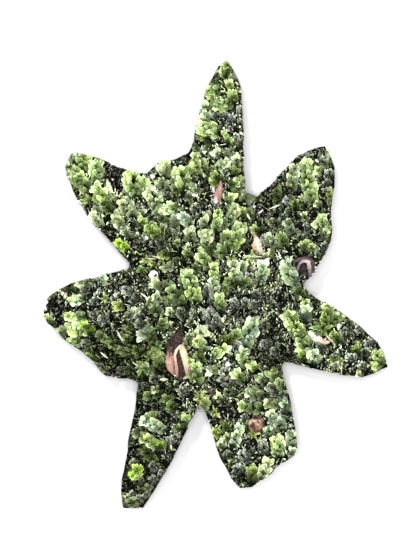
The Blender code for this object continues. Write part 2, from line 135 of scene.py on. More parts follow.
# The smaller shoots that are fused with the carpet: tint, width, tip and root.
SMALL_SHOOTS = (
    ("bluish", 9, (73, 157), (76, 163)), ("olive", 8, (88, 200), (99, 203)),
    ("olive", 8, (103, 201), (112, 213)), ("pale", 9, (67, 167), (72, 172)),
    ("fresh", 11, (144, 183), (138, 196)), ("pale", 8, (94, 216), (103, 228)),
    ("pale", 5, (127, 189), (124, 198)), ("pale", 8, (143, 213), (144, 218)),
    ("fresh", 9, (143, 222), (142, 229)), ("pale", 9, (163, 166), (160, 177)),
    ("fresh", 9, (171, 207), (181, 214)), ("fresh", 8, (163, 209), (170, 216)),
    ("fresh", 9, (190, 170), (193, 178)), ("bluish", 9, (217, 154), (222, 157)),
    ("pale", 8, (236, 160), (237, 168)), ("olive", 11, (215, 178), (222, 181)),
    ("fresh", 9, (235, 184), (229, 188)), ("fresh", 8, (231, 198), (227, 204)),
    ("silver", 9, (194, 207), (198, 211)), ("silver", 8, (207, 214), (208, 220)),
    ("pale", 9, (204, 222), (206, 230)), ("fresh", 11, (206, 235), (207, 246)),
    ("pale", 9, (233, 211), (232, 219)), ("fresh", 7, (242, 211), (244, 219)),
    ("pale", 10, (190, 232), (193, 243)), ("fresh", 11, (228, 236), (226, 248)),
    ("olive", 8, (255, 230), (262, 233)), ("grey", 8, (281, 218), (287, 222)),
    ("silver", 9, (263, 238), (272, 246)), ("bluish", 9, (268, 238), (278, 250)),
    ("olive", 9, (280, 237), (286, 248)), ("pale", 9, (287, 224), (294, 236)),
    ("grey", 8, (271, 222), (281, 228)), ("pale", 6, (303, 215), (306, 222)),
    ("silver", 8, (285, 200), (295, 206)), ("pale", 7, (193, 188), (197, 196)),
    ("olive", 8, (164, 255), (171, 252)), ("olive", 8, (187, 253), (190, 258)),
    ("pale", 7, (188, 247), (192, 250)), ("fresh", 8, (148, 232), (146, 239)),
    ("pale", 6, (226, 63), (229, 72)), ("fresh", 7, (223, 72), (226, 78)),
    ("silver", 6, (233, 76), (236, 84)), ("olive", 8, (212, 84), (220, 83)),
    ("fresh", 7, (229, 84), (232, 91)), ("fresh", 8, (232, 95), (235, 104)),
    ("bluish", 10, (204, 107), (209, 113)), ("bluish", 8, (205, 115), (213, 120)),
    ("silver", 9, (213, 112), (221, 119)), ("pale", 7, (201, 120), (207, 123)),
    ("silver", 8, (240, 109), (242, 116)), ("silver", 7, (227, 115), (224, 119)),
    ("silver", 7, (232, 118), (231, 123)), ("silver", 8, (228, 128), (232, 127)),
    ("silver", 7, (242, 122), (240, 127)), ("olive", 8, (204, 138), (213, 141)),
    ("pale", 5, (224, 133), (226, 138)), ("olive", 9, (228, 141), (226, 146)),
    ("silver", 6, (236, 136), (236, 146)), ("grey", 7, (243, 141), (244, 147)),
    ("pale", 7, (205, 150), (212, 148)), ("grey", 7, (226, 152), (230, 158)),
    ("silver", 6, (218, 72), (217, 79)), ("fresh", 8, (213, 100), (208, 104)),
    ("pale", 9, (306, 163), (306, 169)), ("fresh", 7, (312, 165), (318, 166)),
    ("pale", 8, (317, 171), (323, 172)), ("silver", 8, (324, 159), (322, 167)),
    ("fresh", 8, (330, 157), (331, 167)), ("silver", 8, (328, 172), (331, 178)),
    ("silver", 7, (317, 178), (321, 180)), ("grey", 7, (325, 182), (329, 186)),
    ("silver", 6, (324, 190), (325, 194)), ("olive", 9, (294, 204), (296, 210)),
    ("pale", 7, (316, 204), (320, 206)), ("grey", 8, (287, 211), (291, 214)),
    ("pale", 10, (318, 224), (326, 230)), ("fresh", 10, (304, 245), (307, 252)),
    ("silver", 8, (323, 245), (326, 250)), ("grey", 8, (317, 252), (323, 256)),
    ("silver", 6, (305, 225), (309, 233)), ("fresh", 7, (311, 247), (312, 253)),
    ("grey", 7, (300, 236), (301, 243)), ("pale", 7, (325, 232), (322, 236)),
    ("fresh", 10, (201, 256), (207, 264), (210, 272)), ("bluish", 10, (214, 282), (217, 300)),
    ("silver", 8, (208, 287), (207, 298)), ("fresh", 9, (219, 298), (221, 312)),
    ("silver", 9, (249, 275), (247, 286)), ("bluish", 10, (263, 266), (260, 285)),
    ("olive", 8, (228, 282), (237, 287)), ("olive", 8, (247, 281), (239, 287)),
    ("silver", 12, (208, 311), (214, 320), (221, 330)),
    ("pale", 10, (204, 332), (192, 338), (185, 348)), ("fresh", 10, (199, 341), (206, 351)),
    ("olive", 10, (237, 334), (228, 340), (216, 346)), ("silver", 6, (238, 342), (234, 352)),
    ("bluish", 12, (243, 352), (241, 360)), ("silver", 8, (255, 292), (257, 300)),
    ("silver", 8, (252, 303), (257, 308)), ("silver", 8, (233, 300), (236, 310)),
    ("silver", 7, (244, 300), (247, 309)), ("grey", 8, (262, 322), (268, 330)),
    ("silver", 8, (262, 343), (272, 346)), ("silver", 7, (272, 350), (280, 352)),
    ("grey", 9, (180, 312), (188, 318)), ("silver", 7, (192, 312), (198, 316)),
    ("grey", 7, (190, 320), (194, 325)), ("fresh", 10, (172, 290), (183, 306)),
    ("olive", 8, (163, 322), (160, 333)), ("pale", 8, (170, 312), (176, 316)),
    ("bluish", 12, (305, 310), (304, 322)), ("fresh", 8, (305, 303), (307, 308)),
    ("fresh", 10, (301, 346), (313, 344)), ("fresh", 12, (327, 308), (327, 316)),
    ("pale", 7, (346, 316), (348, 322)), ("olive", 10, (303, 355), (306, 361)),
    ("silver", 7, (318, 345), (324, 350)), ("silver", 8, (334, 354), (337, 360)),
    ("silver", 9, (334, 364), (336, 369)), ("silver", 8, (352, 355), (352, 363)),
    ("grey", 8, (343, 330), (349, 338)), ("silver", 7, (356, 328), (364, 330)),
    ("silver", 7, (372, 338), (376, 344)), ("silver", 7, (366, 343), (370, 347)),
    ("silver", 8, (360, 364), (364, 369)), ("pale", 7, (358, 374), (363, 376)),
    ("olive", 8, (355, 348), (358, 356)), ("grey", 8, (364, 350), (366, 357)),
    ("fresh", 8, (375, 366), (382, 368)), ("olive", 8, (333, 335), (340, 343)),
    ("fresh", 12, (196, 367), (196, 383)), ("pale", 9, (211, 370), (221, 367)),
    ("fresh", 11, (237, 374), (246, 381)), ("silver", 11, (222, 378), (234, 386)),
    ("silver", 8, (222, 370), (229, 376)), ("fresh", 10, (242, 357), (249, 368)),
    ("fresh", 9, (253, 366), (257, 370)), ("fresh", 12, (273, 374), (277, 379)),
    ("pale", 8, (260, 377), (267, 384)), ("silver", 9, (269, 386), (280, 391)),
    ("grey", 8, (283, 392), (284, 398)), ("fresh", 10, (243, 406), (262, 408)),
    ("pale", 9, (268, 403), (283, 403)), ("bluish", 9, (284, 404), (288, 412)),
    ("silver", 10, (262, 441), (264, 455)), ("bluish", 10, (268, 430), (270, 437)),
    ("bluish", 10, (291, 435), (292, 447)), ("silver", 10, (242, 452), (248, 464)),
    ("silver", 9, (236, 466), (240, 474)), ("grey", 8, (226, 453), (230, 458)),
    ("olive", 9, (252, 470), (254, 482)), ("pale", 7, (220, 443), (223, 448)),
    ("vivid", 8, (215, 432), (222, 434)), ("pale", 6, (226, 436), (229, 440)),
    ("grey", 8, (226, 392), (236, 396)), ("pale", 7, (218, 396), (222, 402)),
    ("silver", 6, (243, 415), (246, 420)), ("fresh", 8, (190, 362), (192, 370)),
    ("pale", 7, (155, 389), (160, 387)), ("olive", 8, (148, 395), (165, 392)),
    ("silver", 8, (152, 378), (160, 380)), ("fresh", 8, (145, 366), (146, 376)),
    ("silver", 8, (180, 389), (188, 396)), ("silver", 6, (185, 386), (188, 390)),
    ("olive", 10, (171, 406), (179, 407)), ("fresh", 8, (186, 417), (184, 427)),
    ("olive", 8, (178, 428), (182, 430)), ("vivid", 8, (160, 444), (161, 449)),
    ("silver", 9, (174, 436), (178, 444)), ("silver", 5, (168, 437), (169, 447)),
    ("grey", 8, (133, 461), (137, 466)), ("silver", 8, (152, 464), (158, 470)),
    ("silver", 8, (152, 477), (156, 484)), ("grey", 9, (138, 478), (143, 486)),
    ("silver", 9, (131, 493), (135, 497)), ("silver", 9, (138, 497), (141, 504)),
    ("olive", 8, (131, 500), (134, 507)), ("pale", 6, (123, 497), (125, 507)),
    ("silver", 6, (160, 471), (165, 474)), ("silver", 6, (145, 493), (149, 497)),
    ("vivid", 11, (137, 469), (131, 477)), ("fresh", 12, (147, 418), (152, 424)),
    ("bluish", 9, (103, 278), (100, 283)), ("pale", 7, (80, 283), (97, 281)),
    ("silver", 6, (82, 289), (88, 288)), ("silver", 8, (124, 290), (138, 293)),
    ("grey", 8, (133, 300), (138, 302)), ("silver", 7, (93, 300), (97, 303)),
    ("fresh", 8, (47, 318), (52, 325)), ("fresh", 8, (74, 339), (84, 346)),
    ("olive", 7, (88, 356), (97, 362)), ("yellow", 8, (118, 306), (126, 306)),
    ("pale", 7, (136, 311), (125, 318)), ("silver", 6, (92, 314), (99, 316)),
    ("bluish", 9, (142, 334), (152, 329)), ("silver", 8, (137, 315), (143, 318)),
    ("grey", 8, (138, 323), (147, 327)), ("pale", 12, (156, 284), (166, 289)),
    ("pale", 8, (157, 296), (163, 305)), ("pale", 7, (150, 300), (148, 309)),
    ("olive", 7, (111, 344), (118, 342)), ("olive", 7, (126, 338), (131, 342)),
    ("silver", 7, (100, 318), (108, 321)), ("silver", 8, (84, 343), (92, 345)),
    ("olive", 7, (141, 270), (148, 274)), ("vivid", 11, (85, 327), (92, 334)),
)

# How the carpet varies: plan place, reach, how leafy, how pale, how green and how bright it is there,
# and the heading of its shoots in degrees, 90 up the page and 180 to the left.
CARPET_ZONES = (
    ((80, 170), 22, 1.0, 0.6, 1.0, 1.0, 115),
    ((100, 200), 24, 1.0, 0.6, 1.0, 0.9, 130),
    ((140, 195), 26, 1.0, 0.7, 0.9, 0.7, 110),
    ((112, 172), 13, 0.0, 0.3, 0.2, 0.1, 110),
    ((115, 235), 18, 0.8, 0.5, 1.0, 0.7, 130),
    ((160, 215), 26, 1.0, 0.7, 0.8, 0.4, 120),
    ((190, 190), 28, 1.0, 0.7, 0.8, 0.7, 100),
    ((195, 230), 28, 0.9, 0.6, 0.8, 0.45, 110),
    ((225, 200), 24, 0.9, 0.6, 0.7, 0.5, 90),
    ((222, 60), 16, 0.9, 0.6, 1.0, 1.0, 130),
    ((222, 85), 20, 1.0, 0.5, 1.0, 1.0, 130),
    ((215, 110), 22, 1.0, 0.5, 1.0, 1.0, 160),
    ((235, 125), 14, 0.4, 0.9, 0.2, 0.9, 90),
    ((228, 145), 20, 0.6, 0.7, 0.3, 0.8, 120),
    ((205, 140), 16, 0.6, 0.3, 0.7, 0.6, 150),
    ((275, 190), 22, 0.2, 0.5, 0.2, 0.2, 90),
    ((305, 180), 26, 0.9, 0.7, 0.8, 0.45, 95),
    ((325, 190), 20, 0.8, 0.6, 0.9, 0.4, 90),
    ((305, 225), 26, 0.7, 0.5, 0.5, 0.3, 110),
    ((255, 225), 26, 0.5, 0.4, 0.5, 0.25, 100),
    ((275, 245), 20, 0.6, 0.8, 0.4, 0.8, 100),
    ((160, 265), 26, 0.4, 0.3, 0.6, 0.3, 160),
    ((205, 275), 26, 0.8, 0.6, 0.9, 0.6, 95),
    ((240, 275), 24, 0.8, 0.8, 0.6, 0.7, 95),
    ((262, 310), 32, 0.0, 0.8, 0.1, 0.5, 90),
    ((213, 320), 16, 0.1, 1.0, 0.2, 1.0, 90),
    ((265, 348), 22, 0.0, 0.4, 0.1, 0.2, 90),
    ((120, 287), 24, 0.1, 0.9, 0.1, 0.7, 180),
    ((75, 315), 24, 0.8, 0.6, 0.9, 0.45, 170),
    ((115, 315), 22, 0.3, 0.6, 0.5, 0.4, 170),
    ((115, 352), 26, 0.3, 0.2, 0.8, 0.1, 180),
    ((145, 360), 20, 0.3, 0.1, 0.8, 0.0, 180),
    ((170, 325), 24, 0.5, 0.5, 0.5, 0.5, 110),
    ((200, 345), 24, 0.7, 0.7, 0.7, 0.9, 90),
    ((300, 330), 20, 0.9, 0.7, 0.9, 0.8, 110),
    ((330, 330), 22, 0.5, 0.5, 0.6, 0.6, 90),
    ((350, 350), 24, 0.3, 0.7, 0.3, 0.8, 90),
    ((380, 360), 12, 0.9, 0.6, 0.9, 0.9, 90),
    ((200, 385), 26, 0.6, 0.6, 0.7, 0.7, 100),
    ((245, 385), 26, 0.6, 0.7, 0.5, 0.6, 110),
    ((280, 400), 22, 0.5, 0.6, 0.4, 0.4, 120),
    ((275, 445), 28, 0.6, 0.8, 0.5, 0.7, 110),
    ((235, 440), 22, 0.6, 0.6, 0.7, 0.5, 110),
    ((155, 400), 24, 0.3, 0.2, 0.6, 0.0, 170),
    ((150, 430), 24, 0.6, 0.5, 0.7, 0.1, 165),
    ((170, 440), 16, 0.3, 0.9, 0.2, 0.5, 150),
    ((145, 475), 22, 0.5, 0.3, 0.9, 0.0, 160),
    ((132, 497), 14, 0.6, 0.4, 0.9, 0.05, 140),
)

SHEET = 0.15 * MM

# Bare soil shows through the carpet in these rounds: plan place and radius in millimetres.
BARE_PATCHES = (
    ((113, 171), 3.4), ((120, 186), 2.6), ((104, 163), 1.8), ((126, 176), 1.6), ((87, 208), 1.7),
    ((110, 227), 2.0), ((113, 234), 1.7), ((52, 306), 3.0), ((62, 324), 2.7), ((60, 310), 2.2),
    ((70, 306), 1.6), ((84, 309), 1.5), ((94, 309), 1.2), ((72, 335), 1.6), ((272, 188), 2.8),
    ((263, 215), 2.6), ((257, 206), 1.6), ((300, 157), 2.0), ((318, 153), 1.6), ((195, 142), 2.0),
    ((190, 162), 1.4), ((176, 281), 2.2), ((168, 276), 1.6), ((225, 412), 3.2), ((220, 423), 2.2),
    ((248, 444), 1.8), ((232, 418), 2.0), ((117, 373), 1.8), ((164, 412), 2.6), ((150, 409), 2.0),
    ((135, 452), 2.2), ((158, 456), 1.8), ((128, 488), 1.6), ((291, 340), 2.0), ((284, 290), 1.8),
    ((302, 353), 1.6), ((363, 357), 1.6), ((325, 208), 1.8), ((312, 234), 1.5), ((285, 330), 1.6),
    ((222, 358), 1.2), ((135, 282), 1.6), ((150, 316), 1.5), ((208, 398), 1.4), ((184, 378), 1.8),
    ((132, 245), 2.0), ((143, 246), 1.5), ((290, 178), 1.2), ((313, 322), 1.3), ((281, 462), 1.3),
)

# The loose pieces, as torn strips: how far a strip's back rises over its edges, then stations of plan
# place, depth below the solid's top in millimetres, width and shade from dark 0 to light 1.
STRIPS = {
    "large_bud_scale": (
        (0.7, ((181, 330, 1.0, 3, 0.02), (179, 336, 0.3, 10, 0.05), (176, 343, 0.0, 14, 0.0),
               (173, 350, 0.1, 12, 0.05), (171, 355, 0.3, 9, 0.3), (170, 362, 0.5, 9, 0.62),
               (171, 368, 0.8, 7, 0.5), (174, 374, 1.3, 3, 0.3))),
        (0.8, ((181, 344, 0.0, 5, 0.65), (183, 350, 0.1, 7, 0.85), (185, 357, 0.2, 7, 1.0),
               (187, 364, 0.4, 7, 0.85), (188, 371, 0.8, 6, 0.55), (189, 378, 1.2, 3, 0.3))),
        (0.6, ((181, 345, 0.0, 3, 0.8), (177, 349, 0.1, 3, 0.9), (175, 355, 0.3, 2.5, 0.85),
               (176, 362, 0.5, 3, 0.6), (177, 369, 0.7, 3.5, 0.5), (177, 377, 1.1, 2, 0.3))),
        # A dark sheet under the lobes: painted shade in the slit between them.
        (-0.3, ((178, 350, 1.2, 4, 0.0), (180, 360, 1.5, 6, 0.0), (181, 370, 1.7, 7, 0.0),
                (180, 380, 1.9, 4, 0.0))),
    ),
    "small_bud_scale": (
        (0.6, ((219, 179, 0.5, 2, 0.4), (220, 184, 0.1, 5, 0.55), (220, 191, 0.0, 5, 0.6),
               (219, 198, 0.2, 4, 0.4), (220, 205, 0.6, 3, 0.3))),
        (0.6, ((218, 188, 0.2, 2, 0.5), (216, 195, 0.1, 4, 0.5), (216, 201, 0.2, 6, 0.8),
               (217, 208, 0.7, 3, 0.9))),
        (0.4, ((214, 183, 0.5, 1.5, 0.9), (213, 188, 0.4, 3, 1.0), (214, 193, 0.7, 1.5, 0.8))),
        # A dark sheet under the lobes: painted shade in the slit between them.
        (-0.2, ((218, 189, 0.7, 2, 0.0), (218, 196, 0.8, 2.5, 0.0), (219, 203, 0.9, 2, 0.0))),
    ),
    "tan_splinter": (
        (0.8, ((250, 227, 0.4, 3, 0.8), (252, 230, 0.1, 6, 0.75), (254, 234, 0.0, 6, 0.5),
               (255, 236, 0.0, 4, 0.4), (256, 239, 0.0, 5.5, 0.9), (258, 245, 0.0, 7, 1.0),
               (260, 250, 0.2, 6, 0.8), (263, 254, 0.6, 3, 0.5))),
        (0.5, ((254, 241, 0.5, 2, 0.7), (254, 247, 0.4, 4, 0.6), (256, 251, 0.6, 4, 0.4),
               (257, 255, 0.9, 2, 0.4))),
    ),
    "straw": ((0.9, ((58, 289, 0.3, 3.5, 0.9), (65, 295, 0.0, 4, 1.0), (69, 300, 0.2, 2.6, 0.8),
                     (71, 303, 0.5, 1, 0.6))),),
    "loose_leaf": ((0.5, ((107, 179, 0.5, 1, 0.8), (108, 184, 0.1, 4.5, 0.9), (110, 190, 0.0, 6, 1.0),
                          (112, 196, 0.5, 2, 0.7))),),
    "wood_flake": ((0.7, ((204, 387, 0.4, 3, 0.4), (209, 390, 0.0, 5, 0.6), (213, 393, 0.2, 4, 0.5),
                          (216, 396, 0.5, 2, 0.2))),),
    "pale_seed": ((1.0, ((308, 332, 0.8, 3, 0.8), (310, 334, 0.3, 7, 1.0), (314, 336, 0.0, 9, 1.0),
                         (318, 339, 0.0, 8, 0.95), (321, 341, 0.3, 6, 0.6), (324, 342, 0.6, 5, 0.5),
                         (327, 342, 0.9, 4, 0.7), (330, 341, 1.1, 1.5, 0.5))),),
    "curled_leaf": (
        # Its light shades on this top strip are painted highlights.
        (0.8, ((296, 276, 0.9, 2, 0.3), (297, 270, 0.3, 3, 0.6), (299, 264, 0.0, 3, 0.6),
               (303, 261, 0.0, 3, 0.8), (308, 262, 0.0, 4, 0.95), (309, 268, 0.2, 4, 0.7),
               (310, 277, 0.8, 3, 0.5))),
        (0.7, ((292, 262, 0.8, 3, 0.3), (298, 260, 0.4, 4, 0.4), (306, 258, 0.4, 4, 0.4),
               (312, 262, 0.6, 4, 0.35), (313, 273, 1.0, 3, 0.2))),
        # A dark sheet in the leaf's hollow: painted shade.
        (-0.5, ((303, 262, 1.0, 9, 0.05), (303, 270, 1.3, 11, 0.0), (305, 280, 1.6, 7, 0.0))),
    ),
}

# Dark, middle and light colour of each loose piece.
LOOSE_TINTS = {
    # The bud scales' dark colour also serves as painted shade in the slit under their lobes.
    "large_bud_scale": ((0.018, 0.011, 0.009), (0.470, 0.255, 0.215), (0.850, 0.700, 0.480)),
    "small_bud_scale": ((0.030, 0.010, 0.010), (0.400, 0.210, 0.180), (0.850, 0.780, 0.760)),
    "tan_splinter": ((0.060, 0.035, 0.015), (0.520, 0.350, 0.190), (0.900, 0.830, 0.650)),
    "straw": ((0.200, 0.130, 0.060), (0.620, 0.500, 0.300), (0.880, 0.790, 0.600)),
    "loose_leaf": ((0.080, 0.110, 0.040), (0.420, 0.500, 0.270), (0.720, 0.800, 0.520)),
    "wood_flake": ((0.014, 0.009, 0.006), (0.130, 0.085, 0.065), (0.330, 0.250, 0.200)),
    "pale_seed": ((0.250, 0.130, 0.060), (0.760, 0.520, 0.360), (0.960, 0.900, 0.720)),
    # The curled leaf's dark colour is painted shade in its hollow and its light colour painted highlights.
    "curled_leaf": ((0.006, 0.004, 0.004), (0.120, 0.075, 0.080), (0.640, 0.520, 0.520)),
    "brown_seed": ((0.040, 0.020, 0.012), (0.200, 0.105, 0.065), (0.700, 0.480, 0.360)),
    # The white shell's dark colour is painted shade inside its hollow.
    "white_shell": ((0.006, 0.006, 0.005), (0.450, 0.440, 0.420), (0.930, 0.940, 0.940)),
    "pale_grains": ((0.200, 0.200, 0.190), (0.600, 0.610, 0.600), (0.930, 0.950, 0.960)),
    "pale_needles": ((0.250, 0.230, 0.120), (0.650, 0.640, 0.440), (0.900, 0.910, 0.800)),
}

# Small pale leaves and needles on the carpet: width, both ends and shade.
NEEDLES = (
    (2.2, (245, 256), (262, 257), 0.8), (1.6, (328, 147), (325, 154), 0.9), (4.5, (338, 323), (338, 330), 1.0),
    (4, (192, 361), (191, 368), 1.0), (4, (160, 379), (168, 379), 0.45), (3, (315, 160), (318, 163), 1.0),
    (4, (189, 193), (198, 197), 0.8), (2, (245, 211), (251, 222), 0.9), (2, (270, 209), (280, 205), 0.9),
    (2, (258, 214), (263, 210), 0.9), (4, (158, 440), (153, 451), 0.6), (2.4, (236, 340), (240, 347), 0.9),
    (3.2, (184, 272), (187, 289), 0.6), (2, (143, 259), (156, 259), 0.5), (2, (152, 256), (168, 260), 0.5),
    (2, (101, 352), (108, 358), 0.9), (2, (117, 330), (124, 343), 0.8), (2, (141, 293), (149, 299), 0.9),
    (2, (332, 359), (341, 369), 0.8), (2, (341, 357), (333, 368), 0.7), (1.6, (341, 358), (341, 374), 0.6),
    (2, (322, 331), (335, 345), 0.6), (2.4, (137, 372), (146, 363), 0.6), (2, (133, 362), (146, 371), 0.5),
)

# Pale grains on the carpet: plan place and radius.
GRAINS = (
    ((147, 238), 2.0), ((153, 177), 2.6), ((228, 364), 2.8), ((225, 358), 1.6), ((147, 182), 1.2),
    ((268, 388), 1.4), ((120, 163), 1.0), ((113, 180), 1.1), ((254, 207), 1.3), ((179, 285), 1.2),
)

# Star-like rosettes of narrow leaves: tint, plan place, reach and number of leaves.
ROSETTES = (
    ("yellow", (200, 398), 9, 7), ("yellow", (253, 433), 7, 6), ("yellow", (215, 412), 7, 6),
    ("olive", (322, 328), 12, 8), ("yellow", (231, 260), 6, 5), ("olive", (150, 356), 8, 6),
    ("olive", (158, 347), 8, 6), ("olive", (336, 362), 9, 8), ("yellow", (252, 257), 7, 5),
    ("yellow", (147, 260), 7, 5), ("yellow", (162, 259), 7, 5), ("yellow", (106, 298), 6, 6), ("olive", (141, 367), 8, 6), ("pale", (191, 374), 8, 7),
    ("fresh", (286, 379), 7, 6), ("pale", (304, 198), 7, 6), ("grey", (231, 152), 8, 7),
    ("vivid", (136, 471), 9, 7), ("yellow", (155, 352), 8, 6), ("fresh", (216, 430), 7, 6), ("vivid", (122, 246), 7, 6),
)

# Leaf colours of each tint: painted shade in the groove where leaves meet, the blade's own colour, and a painted
# highlight along the rim.
LEAF_TINTS = {
    "fresh": ((0.036, 0.080, 0.007), (0.310, 0.460, 0.150), (0.780, 0.930, 0.540)),
    "pale": ((0.040, 0.068, 0.020), (0.380, 0.490, 0.240), (0.840, 0.940, 0.670)),
    "vivid": ((0.040, 0.120, 0.005), (0.320, 0.540, 0.060), (0.720, 0.910, 0.280)),
    "bluish": ((0.036, 0.072, 0.028), (0.410, 0.570, 0.330), (0.820, 0.950, 0.740)),
    "olive": ((0.010, 0.022, 0.002), (0.110, 0.170, 0.040), (0.420, 0.550, 0.220)),
    "grey": ((0.006, 0.010, 0.004), (0.100, 0.135, 0.075), (0.540, 0.630, 0.450)),
    "silver": ((0.008, 0.012, 0.007), (0.190, 0.225, 0.170), (0.800, 0.855, 0.760)),
    "yellow": ((0.024, 0.036, 0.004), (0.270, 0.340, 0.080), (0.720, 0.800, 0.380)),
}
# The same for the low carpet between the shoots.
CARPET_TINTS = {
    "dark": ((0.003, 0.006, 0.001), (0.060, 0.078, 0.025), (0.360, 0.420, 0.230)),
    "green": ((0.005, 0.012, 0.001), (0.160, 0.235, 0.050), (0.520, 0.660, 0.280)),
    "silver": ((0.006, 0.009, 0.004), (0.200, 0.235, 0.160), (0.760, 0.820, 0.690)),
}
# The felt's near-black is partly its own dark colour and partly painted shade in the deep gaps between the shoots.
FELT_AND_GAP_SHADE_COLOURS = ((0.001, 0.002, 0.0), (0.008, 0.012, 0.003))
SOIL_COLOURS = ((0.002, 0.002, 0.001), (0.020, 0.018, 0.012))
GRIT_COLOURS = ((0.010, 0.009, 0.006), (0.460, 0.450, 0.410))

# How small a tint's leaves are beside the others.
FINENESS = {"silver": 0.62, "grey": 0.7}
LARGE_SPREAD = 1.22
LARGE_RAISE = 0.6 * MM
LEAF_SPACING = 0.27
LEAF_LENGTH = 1.30
LARGEST_LEAF = 2.0 * MM
LEAF_WIDTH = 0.74
FILL_STEP = 2.5 * MM
FILL_GAP = 1.55 * MM
STRANDS = 36000
FINE_DENSITY = 2.2e6
LEAFY_DENSITY = 0.45e6
GRIT_DENSITY = 2.5e6
CLUMP_SIZE = 2.2 * MM
GRAIN_LIFT = 1.3 * MM

WORLD_STRENGTH = 0.62
TOP_POWER = 5.4
KEY_POWER = 2.0

rng = random.Random(11)


def plan(x, y):
    """A place on the plan grid, as metres from the middle of the patch."""
    return Vector(((x - PLAN_MIDDLE.x) * GRID, (PLAN_MIDDLE.y - y) * GRID))


def dome_height(point):
    """The carpet's broad surface: low towards the arms' tips, with wide swells."""
    dome = DOME_RISE * max(0, 1 - (point.length / DOME_REACH) ** 2)
    swell = SWELL_RISE * noise.noise(Vector((point.x, point.y, 0)) / SWELL_SIZE)
    return MOSS_TOP + dome + swell


def curve_through(points, step):
    """Points about a step apart on a smooth curve through the given ones."""
    before_first = points[0] * 2 - points[1]
    after_last = points[-1] * 2 - points[-2]
    ends = [before_first, *points, after_last]
    found = []
    for before, start, end, after in zip(ends, ends[1:], ends[2:], ends[3:]):
        count = max(1, round((end - start).length / step))
        for index in range(count):
            t = index / count
            straight = start * 2 + (end - before) * t
            bend = (before * 2 - start * 5 + end * 4 - after) * t**2
            twist = (start * 3 - before - end * 3 + after) * t**3
            found.append((straight + bend + twist) / 2)
    return [*found, points[-1]]


def add_node(tree, kind, sockets=None, **settings):
    """Adds a node, then its settings, then a value or a link for each named or numbered socket."""
    made = tree.nodes.new(kind)
    for name, value in settings.items():
        setattr(made, name, value)
    for socket, value in (sockets or {}).items():
        if isinstance(value, bpy.types.NodeSocket):
            tree.links.new(value, made.inputs[socket])
        else:
            made.inputs[socket].default_value = value
    return made


def maths(tree, operation, *values):
    made = add_node(tree, "ShaderNodeMath", dict(enumerate(values)), operation=operation)
    return made.outputs[0]


def between(tree, value, low, high, start=0.0, end=1.0):
    """A smooth step from start to end as the value goes from low to high."""
    sockets = {0: value, 1: low, 2: high, 3: start, 4: end}
    return add_node(tree, "ShaderNodeMapRange", sockets, interpolation_type="SMOOTHSTEP").outputs[0]


def mixed(tree, factor, first, second, blend_type="MIX"):
    sockets = {0: factor, 6: first, 7: second}
    made = add_node(tree, "ShaderNodeMix", sockets, data_type="RGBA", blend_type=blend_type)
    return made.outputs[2]


def opaque(colour):
    return (*colour, 1)


def new_group(name, kind, inputs, outputs):
    """An empty node group with its sockets: inputs as (name, type, default), outputs as (name, type)."""
    group = bpy.data.node_groups.new(name, kind)
    for label, socket_type, default in inputs:
        socket = group.interface.new_socket(label, in_out="INPUT", socket_type=socket_type)
        if default is not None:
            socket.default_value = default
    for label, socket_type in outputs:
        group.interface.new_socket(label, in_out="OUTPUT", socket_type=socket_type)
    return group, group.nodes.new("NodeGroupInput"), group.nodes.new("NodeGroupOutput")


def attribute(tree, name):
    return add_node(tree, "ShaderNodeAttribute", attribute_name=name).outputs["Fac"]


def make_blotches():
    """Soft uneven colour over any surface: a brightness factor and a bump height."""
    group, given, made = new_group(
        "blotches", "ShaderNodeTree",
        [("Scale", "NodeSocketFloat", 900.0), ("Low", "NodeSocketFloat", 0.6),
         ("High", "NodeSocketFloat", 1.3)],
        [("Factor", "NodeSocketFloat"), ("Height", "NodeSocketFloat")])
    place = add_node(group, "ShaderNodeTexCoord").outputs["Object"]
    cloud = add_node(group, "ShaderNodeTexNoise",
                     {"Vector": place, "Scale": given.outputs["Scale"], "Detail": 4.0, "Roughness": 0.6})
    factor = add_node(group, "ShaderNodeMapRange",
                      {0: cloud.outputs[0], 1: 0.3, 2: 0.7, 3: given.outputs["Low"], 4: given.outputs["High"]})
    group.links.new(factor.outputs[0], made.inputs["Factor"])
    group.links.new(cloud.outputs[0], made.inputs["Height"])
    return group


